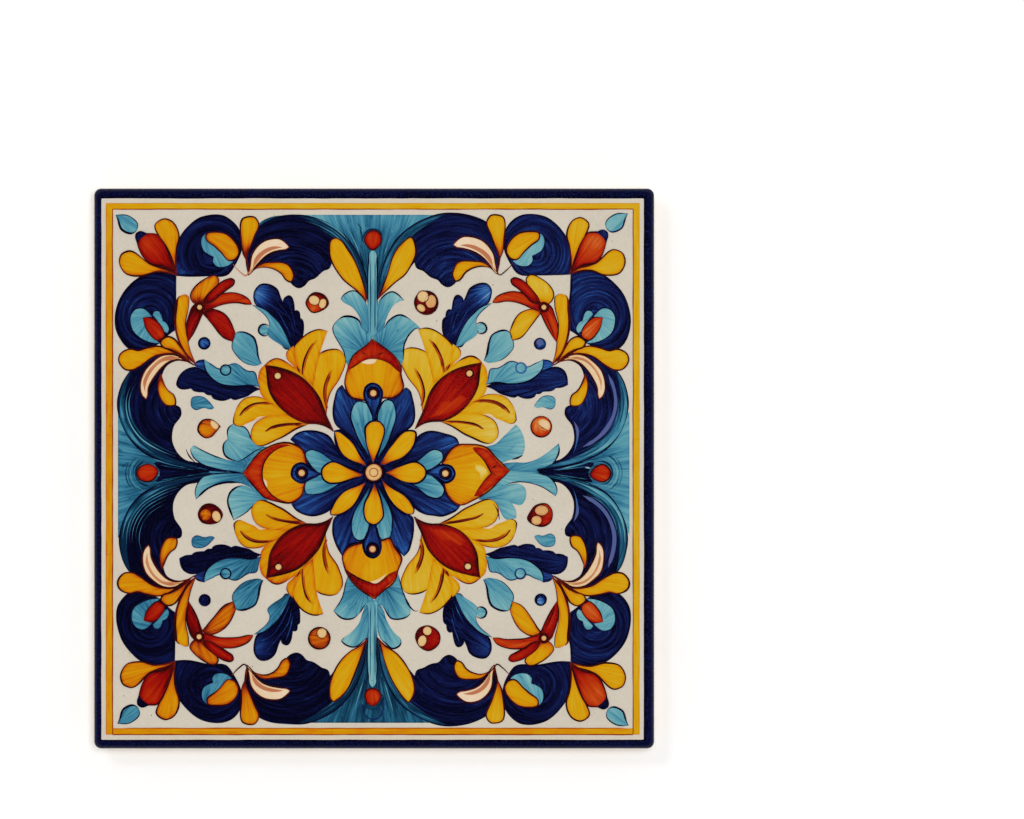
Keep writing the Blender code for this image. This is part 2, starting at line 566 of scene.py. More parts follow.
def pen(pot, path, width, level=2, taper=(0.4, 0.4), closed=False, load=LINE_LOAD, turn="own",
        smooth=True, fade=2.5):
    """A thin raised line with its own width and ends.

    taper is the share of the width at each end, and fade how many millimetres an end takes to
    thin out. Without smooth, the path is drawn as it is given.
    """
    path = smooth_curve(path, closed)[0] if smooth else np.asarray(path, float)
    path = placed(path, turn)
    if closed:
        path = np.vstack([path, path[:1]])
    step = np.hypot(*np.diff(path, axis=0).T)
    keep = np.concatenate([[True], step > 1e-4])
    path = path[keep]
    step = np.hypot(*np.diff(path, axis=0).T)
    along = np.concatenate([[0], step.cumsum()])
    total = along[-1]
    seed = MARK_SEED.uniform(0, 90)
    if closed:
        path, along = path[:-1], along[:-1]
        run = np.roll(path, -1, 0) - np.roll(path, 1, 0)
    else:
        run = np.gradient(path, axis=0)
    run /= np.maximum(np.hypot(*run.T), 1e-9)[:, None]
    side = np.column_stack([-run[:, 1], run[:, 0]])
    wide = line_width(along, width, seed)
    if closed:
        blend = ease(np.minimum(along, total - along) / CLOSING)
        wide = width + (wide - width) * blend
    else:
        fade = max(min(fade, total / 2), 1e-6)
        start = taper[0] + (1 - taper[0]) * ease(along / fade)
        end = taper[1] + (1 - taper[1]) * ease((total - along) / fade)
        wide = wide * start * end
    left, right = path + side * wide[:, None] / 2, path - side * wide[:, None] / 2
    ground = coat_heights(path, level) + LINE_LIFT
    count = len(path)
    ridge = np.column_stack([path, ground + LINE_THICK])
    keel = np.column_stack([path, ground - LINE_THICK])
    rails = (np.column_stack([left, ground]), ridge, np.column_stack([right, ground]), keel)
    faces = []
    for i in range(count if closed else count - 1):
        j = (i + 1) % count
        for a, b in ((0, 1), (1, 2), (2, 3), (3, 0)):
            faces.append([a * count + i, b * count + i, b * count + j, a * count + j])
    if not closed:
        faces.append([0, 3 * count, 2 * count, count])
        faces.append([count - 1, 2 * count - 1, 3 * count - 1, 4 * count - 1])
    thin = np.tile(load * np.clip(wide / width, *LOAD_RANGE), 4)
    across = np.concatenate([wide / 2, 0 * wide, -wide / 2, 0 * wide])
    stroke = np.column_stack([across, np.tile(along * ALONG, 4), 0 * across]) + seed
    edge = np.concatenate([0 * wide, wide / 2, 0 * wide, 0 * wide])
    POTS[pot].pour(np.vstack(rails), faces, thin, stroke, edge)


def draw_outline(pot, points, marks, outline, ink, level, turn):
    """Draw all or some of a mark's outline, lifting the brush at each corner."""
    count = len(outline)
    corners = [i for i, p in enumerate(outline) if len(p) > 2]
    if isinstance(ink, (int, float)):
        if not corners:
            pen(pot, points, ink, level, closed=True, turn=turn, smooth=False)
            return
        stretches = []
        for k, start in enumerate(corners):
            end = corners[(k + 1) % len(corners)]
            stretches.append((start, end if end > start else end + count, ink))
        ends = CORNER_TAPER
    else:
        stretches = [(a, b if b > a else b + count, *rest) for a, b, *rest in ink]
        ends = STRETCH_TAPER
    for start, end, width, *strength in stretches:
        first = marks[start % count]
        last = marks[end % count]
        if last <= first or end >= count:
            last += len(points)
        index = np.arange(first, last + 1) % len(points)
        pen(pot, points[index], width, level, ends, False, (strength or [LINE_LOAD])[0], turn, False)


DISC_POINTS = 10  # as many as a hand would place round a disc


def disc(centre, radius, squash=1.0, lean=0.0):
    """A round outline, perhaps squashed and turned, as a few listed points would give it."""
    spots = []
    for k in range(DISC_POINTS):
        angle = 2 * math.pi * k / DISC_POINTS
        x, y = radius * math.cos(angle), radius * squash * math.sin(angle)
        spots.append((
            centre[0] + x * math.cos(lean) - y * math.sin(lean),
            centre[1] + x * math.sin(lean) + y * math.cos(lean),
        ))
    return spots


# %% [markdown]
# ## The border
#
# The rim is one broad brush of cobalt, wiped round the tile's edge with a finger behind the
# brush, so it runs over the rolled edge and stops in a wavy line on the side. Inside it the
# painter leaves a bare line, a band of antimony yellow and a thin brown line. A closed ring with
# a slow wobble on each edge keeps the bands hand-made and still straight as a whole.

# %% Border bands
SIDE_POINTS = 150  # points along each straight side of a loop
ARC_POINTS = 6  # and round each corner
CORNER_RADIUS = 1.9  # of the tile's square, seen from above
FACE_CORNER = 1.3  # the corner's radius where the flat face ends
FACE_ROUND = 1.2  # the radius of the rolled edge
ROLL_STEPS = 6  # flats round the rolled edge's quarter turn
LIP_HEIGHT = 3.2  # how far down the side the upright lip reaches
EDGE_WOBBLE = 0.08  # how far a painted edge strays from straight
BAND_CORNER = 0.25  # of a painted rectangle
LEAST_CORNER = 0.05  # any loop has this much, so that no two of its points meet
RIM_LIFT = 0.05  # how far the cobalt stands over the glaze
BAND_RINGS = 5  # across a band's width
BAND_EDGE = 3  # a band is narrow, so its pools of pigment are this many times narrower too
HEAVY_REACH = 60  # millimetres over which a band passes from its heavy to its light sides
RING_GAP = 0.5  # millimetres between two rings, as the brush streaks count them


def square_loop(inset, corner):
    """A square with rounded corners, a given way in from the tile's side, with a fixed count."""
    half = HALF - inset
    corner = max(corner, LEAST_CORNER)
    spots = []
    for k, (sx, sy) in enumerate(((1, 1), (-1, 1), (-1, -1), (1, -1))):
        for a in range(ARC_POINTS + 1):
            angle = math.radians(90 * (k + a / ARC_POINTS))
            x = sx * (half - corner) + corner * math.cos(angle)
            y = sy * (half - corner) + corner * math.sin(angle)
            spots.append((x, y))
        nx, ny = ((-1, 1), (-1, -1), (1, -1), (1, 1))[k]
        angle = math.radians(90 * (k + 1))
        straight = half - corner
        end = (nx * straight + corner * math.cos(angle), ny * straight + corner * math.sin(angle))
        last = spots[-1]
        for t in range(1, SIDE_POINTS):
            s = t / SIDE_POINTS
            spots.append((last[0] + s * (end[0] - last[0]), last[1] + s * (end[1] - last[1])))
    return np.array(spots)


def sway(x, y, seed):
    """A slow drift with a quicker one in it."""
    return noise.noise(Vector((x / 9, y / 9, seed))) + 0.5 * noise.noise(Vector((x / 3, y / 3, seed)))


def sides_loop(sides, seed):
    """A hand-drawn rectangle: left, right, bottom and top sides, with a slow wobble."""
    left, right, bottom, top = sides
    loop = square_loop(0, BAND_CORNER) / HALF
    x = np.where(loop[:, 0] < 0, -left, right) * loop[:, 0]
    y = np.where(loop[:, 1] < 0, -bottom, top) * loop[:, 1]
    shift = [(sway(px, py, seed), sway(px, py, seed + 5)) for px, py in zip(x, y)]
    return np.column_stack([x, y]) + EDGE_WOBBLE * np.array(shift)


def ring_faces(rings, count):
    """Quads between rings of the same count, and from the last ring back to the first."""
    faces = []
    for r in range(rings):
        s = (r + 1) % rings
        for i in range(count):
            j = (i + 1) % count
            faces.append([r * count + i, s * count + i, s * count + j, r * count + j])
    return faces


def band(pot, inner, outer, load, level, seed):
    """A painted band between two hand-drawn rectangles.

    load is the pigment on the right and above, and how much more of it lies on the left and below.
    """
    a, b = sides_loop(inner, seed), sides_loop(outer, seed + 2)
    rings, edges = [], []
    width = np.hypot(*(b - a).T).mean()
    for t in np.linspace(0, 1, BAND_RINGS):
        flat = a + t * (b - a)
        gap = min(t, 1 - t) * width
        height = coat_heights(flat, level) + CROWN * float(ease(gap / CROWN_WIDTH))
        rings.append(np.column_stack([flat, height]))
        edges.append(np.full(len(flat), gap))
    under = [np.column_stack([loop, glaze_heights(loop) - FOOT]) for loop in (a, b)]
    rings = [under[0], *rings, under[1]]
    edges = [BAND_EDGE * e for e in (edges[0], *edges, edges[-1])]
    heavy = ease(0.5 - (a[:, 0] + a[:, 1]) / HEAVY_REACH)
    pour_rings(pot, rings, edges, load[0] + load[1] * heavy)


def pour_rings(pot, rings, edges, load, drag=0.09):
    """Gather a closed band. drag is how much the brush marks are shortened: 1 leaves round specks."""
    count = len(rings[0])
    points = np.concatenate(rings)
    girth = 4 * 2 * HALF
    along = np.tile(np.arange(count) * girth / count, len(rings))
    across = np.repeat(np.arange(len(rings)) * RING_GAP, count)
    stroke = np.column_stack([across, along * drag, 0 * along])
    thick = np.tile(load + np.zeros(count), len(rings))
    POTS[pot].pour(points, ring_faces(len(rings), count), thick, stroke, np.concatenate(edges))


def paint_rim():
    """Cobalt over the rolled edge, down to a wavy line on the side."""
    inner = sides_loop((-74.2, 73.4, -73.8, 73.5), 1.0)
    rings = [np.column_stack([inner, glaze_heights(inner) - FOOT])]
    rings.append(np.column_stack([inner, glaze_heights(inner) + 0.5 * RIM_LIFT]))
    edges = [np.zeros(len(inner)), np.zeros(len(inner))]
    for inset, gap in ((1.75, 0.6), (1.45, 1.0), (1.2, 1.2)):  # in from the side, and from the paint's edge
        loop = square_loop(inset, FACE_CORNER)
        rings.append(np.column_stack([loop, glaze_heights(loop) + RIM_LIFT]))
        edges.append(np.full(len(loop), gap))
    radius = FACE_ROUND + RIM_LIFT
    for k in range(1, ROLL_STEPS + 1):
        angle = math.radians(90 / ROLL_STEPS * k)
        loop = square_loop(FACE_ROUND - radius * math.sin(angle), CORNER_RADIUS)
        height = THICK - FACE_ROUND + radius * math.cos(angle)
        rings.append(np.column_stack([loop, np.full(len(loop), height)]))
        edges.append(np.full(len(loop), 1.5))
    low = square_loop(-RIM_LIFT, CORNER_RADIUS)
    drip = np.array([noise.noise(Vector((x / 4, y / 4, 8.0))) for x, y in low])
    height = THICK - FACE_ROUND - 0.5 + 0.5 * drip
    rings.append(np.column_stack([low, height]))
    edges.append(np.zeros(len(low)))
    under = square_loop(0.1, CORNER_RADIUS)
    rings.append(np.column_stack([under, height - 0.02]))
    edges.append(np.zeros(len(low)))
    pour_rings("cobalt", rings, edges, 0.9, 1.0)


paint_rim()
band("yellow", (-71.2, 70.45, -70.7, 70.6), (-73.0, 72.25, -72.4, 72.25), (0.34, 0.2), 1, 20.0)
BROWN_LINE = sides_loop((-71.15, 70.5, -72.4, 70.6), 20.0)
pen("brown_line", BROWN_LINE, 0.26, 1.2, closed=True, load=0.42, smooth=False)
INNER_LINE = sides_loop((-71.2, 70.45, -70.65, 70.6), 22.0)
LOW_SIDE = INNER_LINE[(INNER_LINE[:, 1] < -70) & (np.abs(INNER_LINE[:, 0]) < 69)]
pen("brown_line", LOW_SIDE, 0.22, 1.2, load=0.25, smooth=False)
print(f"border: {sum(len(p.faces) for p in POTS.values()):,} faces")

# %% [markdown]
# ## The corner fans
#
# Each quarter opens from one joint: a red bud between two yellow petals, then two cobalt discs,
# then a flower. The painter fills the discs with a turning brush, so their streaks run round.
# The other quarters are the same stencil turned over, with the drifts above and a few colours
# that the painter changed on the way.

# %% Corner fan and its two discs
# Here and below, a name in capitals with four quarters holds the load of one mark in each.
BERRY = {"own": 0.42, "right": 0.2, "below": 0.46, "across": 0.25}


def paint_fan(turn):
    """The leaf in the corner, the bud and its two petals."""
    pen("brown_line", [(-54.0, 52.9), (-56.2, 54.4), (-59.0, 55.2)], 0.9, 2.8, (0.3, 0.3), turn=turn)
    mark("turquoise", [(-70.3, 69, TIP), (-66.7, 68.7), (-64.3, 66.2), (-64.6, 64.9), (-65.6, 64.1),
         (-68.6, 65), (-69.8, 68)], (0.45, 0.38), 2, [(0, 3, 0.3), (3, 0, 0.55)], turn=turn)
    mark("yellow", [(-53.8, 52.8, TIP), (-56.7, 60.6), (-58.4, 63), (-59.6, 66.3), (-57, 67.95),
         (-55.4, 67.5), (-53.1, 62.6), (-53.6, 60.6)], (0.5, 0.42), 3, 0.42, turn=turn, root=ROOT)
    mark("yellow", [(-53.9, 52.7, TIP), (-55.6, 54), (-58, 54.6), (-60.5, 55.4), (-67.2, 59.1), (-68.7, 58.3),
         (-69.3, 56.6), (-67.7, 53.2), (-63.6, 52.4), (-59, 53.6)], (0.5, 0.44), 3, 0.42, turn=turn,
         root=ROOT)
    mark("red", [(-53.6, 52.4, TIP), (-55.3, 57), (-58, 62.5), (-59.4, 63.8), (-61.2, 63.95), (-62.6, 63.9),
         (-64.3, 61.3), (-63.9, 59.7), (-60.9, 55.8), (-57, 54.9)], (BERRY[turn], 0.84), 4, 0.4,
         ("fan", (-51.0, 49.0)), (-61.4, 61.4), turn)
    mark("cobalt", [(-65, 62.6, TIP), (-64.9, 63.9), (-64, 64.6), (-61.6, 63.9, TIP), (-63.9, 62),
         (-64.4, 60.9, TIP)], (0.8, 0.8), 5, turn=turn)


def paint_discs(turn):
    """Two cobalt discs with what is painted on them."""
    mark("cobalt", [(-53.6, 52.5, TIP), (-53.3, 61.7), (-47.2, 68.2), (-40.6, 68.5), (-36.7, 64.6),
         (-36.2, 59.8), (-37.9, 55.6), (-39.7, 53.1), (-46, 52.5)], (0.84, 0.8), 1, 0.45,
         flow=("ring", (-44.5, 58.5)), base=(-38.0, 66.0), turn=turn)
    if turn == "own":
        mark("cobalt", [(-53.5, 52.9, TIP), (-53.8, 55.4), (-53.4, 58.0, TIP), (-52.6, 56.0), (-51.6, 54.2),
             (-50.0, 52.95, TIP)], (0.3, 0.8), 1.5, turn=turn)
    mark("turquoise", [(-45.9, 63.9, TIP), (-46.8, 63), (-46.5, 59.3), (-43.7, 57.6, TIP), (-43.9, 56.2),
         (-43.1, 55.1), (-40, 55), (-38.3, 56.3, TIP), (-40.4, 57.6), (-41.8, 59.3), (-43.3, 60.7),
         (-45.7, 62.9)], (0.45, 0.4), 2, 0.3, turn=turn)
    mark("yellow", [(-45.7, 63.6), (-42.6, 64.3), (-40.3, 63.8), (-36.9, 58.2), (-37.8, 57), (-39.2, 56.6),
         (-41.8, 59), (-43.3, 60.4), (-45.7, 62.6)], (0.55, 0.48), 3, 0.4, turn=turn)
    mark("cobalt", [(-53.9, 52.4, TIP), (-56, 53.2), (-61.5, 52.9), (-68.7, 46.9), (-69.8, 37), (-66.6, 32.7),
         (-57.8, 34.8), (-56.2, 36.4), (-54.3, 37.6, TIP)], (0.72, 0.86), 1, 0.45,
         flow=("ring", (-61.0, 41.5)), turn=turn)
    mark("turquoise", [(-60.4, 41.3, TIP), (-63.2, 43.7), (-64.9, 43.4), (-66.1, 42), (-65.9, 38),
         (-60, 34.1), (-58.3, 34.1, TIP), (-60.5, 36.5), (-62.4, 39.4)], (0.5, 0.4), 2, 0.3, turn=turn)
    mark("turquoise", [(-60.3, 41.8, TIP), (-59.9, 42.7), (-58.9, 42.95), (-57.5, 40.2, TIP), (-56.7, 39.8),
         (-55.8, 37.6), (-56.3, 36.8, TIP), (-57.6, 37.6), (-58.8, 39.8)], (0.45, 0.4), 2, 0.3, turn=turn)
    mark("red", [(-62.9, 41, TIP), (-60.9, 41.1), (-57.4, 35.6), (-58.7, 34.9), (-61.5, 37.2)],
         (BERRY[turn] + 0.1, BERRY[turn]), 3, 0.35, turn=turn)


# %% The flower beside the discs
FLOWER_TOP = {"own": 0.62, "right": 0.34, "below": 0.62, "across": 0.58}
FLOWER_LOW = {"own": 0.62, "right": 0.46, "below": 0.66, "across": 0.56}
DROP = {"own": 0.3, "right": 0.42, "below": 0.66, "across": 0.62}
FLOWER_SIDE = {"own": 0.7, "right": 0.45, "below": 0.78, "across": 0.7}


def paint_flower(turn):
    """Five petals about an eye, the upright petal over the disc, a blue drop and a leaf."""
    mark("yellow", [(-48.3, 28.2, TIP), (-51.4, 31.4), (-54, 42.5), (-52.7, 47), (-51.5, 47.4), (-50.5, 46.8),
         (-50.4, 45), (-51.3, 39), (-50.8, 36), (-50.4, 33.4)], (0.6, 0.4), 3, [(0, 3, 0.75), (4, 0, 0.22)],
         turn=turn, root=(4.0, 0.15))
    mark("yellow", [(-47.6, 44.8, TIP), (-48.9, 44.9), (-49.9, 46.3), (-46.5, 51.3), (-42.9, 52.3),
         (-42.2, 51.4), (-42.6, 50), (-44.6, 47.4), (-46.2, 45.6)],
         (FLOWER_TOP[turn], FLOWER_TOP[turn] - 0.06), 2.6, 0.32, turn=turn, root=(3.2, 0.45))
    mark("red", [(-46.8, 44.6, TIP), (-46, 46.3), (-44.2, 48.4), (-40.2, 51.4), (-38.8, 51.7), (-38, 51.2),
         (-38.2, 50.2), (-39.8, 48.9), (-42, 47.2), (-44.4, 45.2)], (0.62, 0.55), 3.3, 0.35, turn=turn,
         root=(5.0, 0.35))
    mark("red", [(-46.8, 44.3, TIP), (-44.9, 45.9), (-37.4, 47.7), (-33.9, 45.8), (-33.3, 44.7, TIP),
         (-34.5, 44.7), (-36.6, 45.1), (-41.8, 44.5), (-44.4, 43.5), (-46.2, 43)], (0.45, 0.26), 3, 0.35,
         turn=turn, root=(5.0, 0.4))
    mark("red", [(-48.2, 44.9), (-49.5, 43.9), (-50.3, 42), (-51.1, 37), (-50.5, 34.6, TIP), (-47.2, 41),
         (-46.6, 42.8)], (FLOWER_SIDE[turn], FLOWER_SIDE[turn] - 0.1), 2.9, 0.35, base=(-47.6, 43.9),
         turn=turn, root=(5.0, 0.3))
    load = FLOWER_LOW[turn]
    pot = "red" if turn == "own" else "yellow"
    mark(pot, [(-46.5, 42.4), (-45.3, 43.2), (-41.4, 42.5), (-37.8, 37, TIP), (-38.4, 34.6, TIP),
         (-40.3, 35.3), (-44, 39.2), (-45.5, 41)], (load, load - 0.06), 2.8, 0.35, base=(-47.0, 43.0),
         turn=turn, root=(4.2, 0.45))
    mark("red", disc((-47.5, 43.9), 1.5), (0.98, 0.98), 3.6, turn=turn)
    mark("peach", disc((-47.5, 43.9), 0.85), (0.5, 0.45), 4, 0.35, turn=turn)
    mark("cobalt", disc((-46.2, 34.1), 1.5), (DROP[turn] - 0.05, DROP[turn] + 0.15), 2, 0.42,
         base=(-46.6, 34.5), turn=turn)
    if turn in ("right", "across"):
        mark("blue_line" if turn == "right" else "cobalt", disc((-46.2, 34.5), 0.95), (0.0, 0.15), 2.6,
             turn=turn)
    pen("red", [(-50.2, 35.2), (-49.6, 37.4), (-48.7, 39.8), (-47.7, 42.2)], 0.28, 3.2, load=0.72, turn=turn)
    mark("turquoise", [(-37.7, 36.7), (-32.6, 35.4), (-32, 33.6), (-31.3, 29.8), (-30.6, 28.6, TIP),
         (-31.9, 28), (-33.9, 28.2), (-37.6, 31), (-38.6, 32.7), (-38.2, 35.6)], (0.56, 0.4), 2,
         [(0, 4, 0.55), (6, 0, 0.22)], turn=turn)


# %% [markdown]
# ## Scrolls, crescents and leaves
#
# The cobalt scrolls carry the pattern from quarter to quarter. Cobalt fired this thick runs
# almost black; along the outer edge the painter adds a band of green-blue copper, so each scroll
# has a cool rim. The crescents and petals lie over the scrolls and were painted after them.

# %% Scrolls with their crescents
SCROLL_LINES = {  # the lines down a side scroll's outer edge: (way in, width, load)
    "own": ((0.6, 1.3, 0.8), (2.1, 0.35, 0.42), (2.9, 0.5, 0.86)),
    "right": ((0.45, 1.1, 0.46), (1.4, 0.5, 0.66), (2.3, 0.35, 0.8)),
    "below": ((0.6, 1.0, 0.74), (1.6, 0.3, 0.6), (2.3, 0.25, 0.7), (3.1, 0.3, 0.62), (4.0, 0.25, 0.74),
              (5.0, 0.25, 0.8)),
    "across": ((0.45, 1.1, 0.46), (1.4, 0.5, 0.68), (2.4, 0.35, 0.8)),
}


def brush_lines(pot, path, middle, lines, turn):
    """Lines that run beside a path, each some way in towards a middle: (way in, width, load)."""
    path = smooth_curve(path, False, 1.5)[0]
    inward = np.array(middle) - path
    inward /= np.hypot(*inward.T)[:, None]
    for inset, width, load in lines:
        start, end = MARK_SEED.randint(0, 5), MARK_SEED.randint(1, 7)
        pen(pot, (path + inset * inward)[start:-end], width, 2.4, (0.05, 0.05), load=load, turn=turn,
            smooth=False, fade=11.0)


def paint_top_scroll(turn):
    """The scroll along the top side, and the petals between it and the disc."""
    mark("cobalt", [(-34.2, 52.8, TIP), (-34.8, 58.2), (-33, 64.8), (-19.6, 68.9), (-8, 63.4), (-2.1, 51),
         (-1.9, 46.8, TIP), (-5, 50), (-9, 53.4), (-11.6, 56.2, TIP), (-12.2, 54.6), (-13.8, 53.9),
         (-16.2, 51.9), (-17.8, 51.3), (-19.1, 49.9), (-20.3, 49.3), (-22.6, 50.7), (-23, 51.6),
         (-31.5, 54.9)], (0.84, 0.88), 1, 0.4, flow=("ring", (-22.5, 48.5)), turn=turn)
    mark("turquoise", [(-20.5, 68.8, TIP), (-16.6, 68.1), (-8.1, 63.2), (-2.2, 51), (-1.9, 47.2, TIP),
         (-3.6, 51.4), (-7.4, 59), (-13.4, 64.9)], (0.93, 0.9), 2, flow=("ring", (-22.5, 48.5)), turn=turn)
    if turn == "own":
        mark("turquoise", [(-32.0, 65.7, TIP), (-30.7, 67.2), (-28.2, 68.4), (-25.0, 68.9, TIP),
             (-27.9, 67.9), (-30.4, 66.7)], (0.55, 0.9), 1.6, turn=turn)
    outer = [(-18.4, 68.9), (-13.4, 67.1), (-8.8, 64.1), (-5.7, 60.3), (-3.6, 56.0), (-2.2, 51.0)]
    lines = ((0.1, 0.4, 0.5), (0.9, 0.3, 0.74), (1.6, 0.35, 0.66), (2.3, 0.25, 0.78))
    if turn != "own":
        lines = ((0.9, 0.4, 0.8), (1.9, 0.3, 0.76))
    brush_lines("turquoise", outer, (-18.0, 52.0), lines, turn)
    mark("yellow", [(-35, 57.1, TIP), (-35.6, 58.5), (-36, 61.4), (-35.4, 68.2), (-32.4, 68.3), (-31.5, 67),
         (-32.7, 62.9)], (0.52, 0.42), 3, 0.4, turn=turn, root=ROOT)
    pen("brown_line", [(-34.9, 57.6), (-34.5, 55.6), (-34.2, 53.4)], 0.6, 3, (0.9, 0.2), turn=turn)
    thread, load = ("peach", 0.95) if turn == "own" else ("brown_line", 0.9)
    pen(thread, [(-38.4, 55.6), (-36.3, 53.4), (-34.8, 52.5), (-34.2, 53.2), (-32.5, 55.0)], 0.32, 3.4,
        (0.5, 0.4), load=load, turn=turn)
    mark("peach", [(-34.2, 52.6, TIP), (-33.7, 55.3), (-33.2, 58.2), (-29.5, 62.1), (-25.4, 62.4),
         (-23.1, 60.3, TIP), (-23.9, 59.7), (-25.9, 59.3), (-28.3, 58.5), (-32, 55.3), (-33.2, 53.6)],
         (0.3, 0.05), 3, 0.42, turn=turn)
    mark("peach", [(-32.9, 54.6, TIP), (-32.7, 56.5), (-27.1, 60.5), (-24.9, 60.2, TIP), (-29.3, 58.7)],
         (1.0, 0.9), 3.5, turn=turn)
    mark("yellow", [(-32.2, 54.4, TIP), (-30.3, 55.8), (-27.8, 56.1), (-23.2, 55.3), (-21.9, 51.9),
         (-22.6, 50.8), (-23.9, 51.3), (-25.1, 52.9), (-30.3, 54.8)], (0.55, 0.48), 3, 0.38, turn=turn)


CRESCENT = {  # the width and load of the dark stroke within the pale crescent
    "own": (1.0, 0.95), "right": (0.55, 0.66), "below": (0.9, 0.85), "across": (0.6, 0.75)
}


def paint_side_scroll(turn):
    """The scroll down the left side, and the petals that lie over it."""
    mark("cobalt", [(-50, 29.2, TIP), (-57, 31.6), (-60, 30.8), (-63, 28.6), (-65.6, 27.2), (-67.4, 25),
         (-69.7, 19), (-62.4, 4.2), (-59, 2.6), (-40, -0.9, TIP), (-48.8, 1.6), (-50.9, 2), (-55.1, 7.4),
         (-54.7, 11.4), (-52.6, 15), (-52.9, 16.4), (-54.2, 17.2), (-56.2, 18.5), (-57.4, 21), (-58, 23.6),
         (-56.4, 28.2), (-54.4, 29.3)], (0.84, 0.9), 1, 0.4, flow=("ring", (-52.0, 17.0)), turn=turn)
    mark("turquoise", [(-66, 26.8, TIP), (-68.8, 22.1), (-68.7, 12.5), (-62.3, 4.5), (-58.9, 2.8),
         (-44.4, -0.5, TIP), (-49.6, 1), (-54, 2.4), (-65.8, 11.8), (-67.8, 18.8)], (0.93, 0.88), 2,
         flow=("ring", (-52.0, 17.0)), turn=turn)
    outer = [(-67.4, 24.8), (-69.5, 19.0), (-68.7, 12.5), (-65.1, 6.9), (-59.0, 3.0), (-51.0, 0.5)]
    brush_lines("turquoise", outer, (-55.0, 16.0), SCROLL_LINES[turn], turn)
    if turn in ("right", "across"):
        pen("blue_line", [(-64.2, 25.6), (-66.0, 21.4), (-66.4, 17.0), (-65.1, 12.8), (-62.9, 9.6),
            (-60.0, 7.2), (-57.4, 5.8)], 0.95, 1.9, (0.1, 0.1), load=0.08, turn=turn)
        mark("blue_line", [(-54.9, 12.8, TIP), (-56.2, 10.8), (-56.0, 7.6), (-54.6, 3.6, TIP), (-55.4, 6.4),
             (-55.6, 9.6)], (0.0, 0.3), 1.9, turn=turn)
    mark("yellow", [(-49, 28.1, TIP), (-52.9, 30.7), (-59.4, 33.3), (-61.9, 32.8), (-64.3, 32.1),
         (-66.3, 32.5), (-69.2, 30.9), (-69.5, 29.7), (-67.5, 26.9), (-65.5, 26.9), (-63.8, 27.8),
         (-59.4, 30.7), (-54.6, 31.2)], (0.52, 0.42), 3, 0.42, turn=turn, root=(9.0, 0.28))
    pen("brown_line", [(-50.0, 29.0), (-52.6, 31.2), (-55.2, 32.8), (-57.4, 33.5)], 0.6, 3.1, (0.6, 0.6),
        turn=turn)
    pen("brown_line", [(-49.2, 28.3), (-51.2, 29.5), (-53.2, 30.3)], 0.6, 2.9, (0.6, 0.4), turn=turn)
    mark("yellow", [(-50.2, 29.2, TIP), (-52.9, 33.4), (-54.3, 35.2), (-56, 35.9), (-58.1, 34.3),
         (-57.6, 33.2), (-55.1, 32.3)], (0.56, 0.46), 3.5, 0.4, turn=turn, root=(5.0, 0.15))
    mark("peach", [(-50.4, 29, TIP), (-55.3, 31.1), (-57.7, 30.7), (-60.2, 29), (-62.4, 26.6), (-62.9, 19.7),
         (-62, 18.9, TIP), (-61.6, 20), (-61.4, 21.9), (-60.2, 24.4), (-54.1, 29.6)], (0.35, 0.15), 3, 0.42,
         turn=turn)
    pen("peach", [(-52.9, 30.0), (-55.3, 30.1), (-57.7, 29.5), (-59.9, 27.8), (-61.4, 25.8), (-62.4, 23.4),
         (-62.4, 21.2)], CRESCENT[turn][0], 3.6, (0.2, 0.2), load=CRESCENT[turn][1], turn=turn)
    mark("yellow", [(-58, 25.8, TIP), (-58.8, 23.4), (-58, 19), (-56.8, 17.4), (-54.2, 17.3), (-54.6, 20.1),
         (-55.8, 21)], (0.5, 0.44), 3, 0.4, turn=turn, root=(5.0, 0.5))


# %% Leaves
LEAF_RING = {"own": 0.9, "right": 0.28, "below": 0.85, "across": 0.5}
LEAF_LOBE = {"own": 0.22, "right": 0.42, "below": 0.5, "across": 0.6}


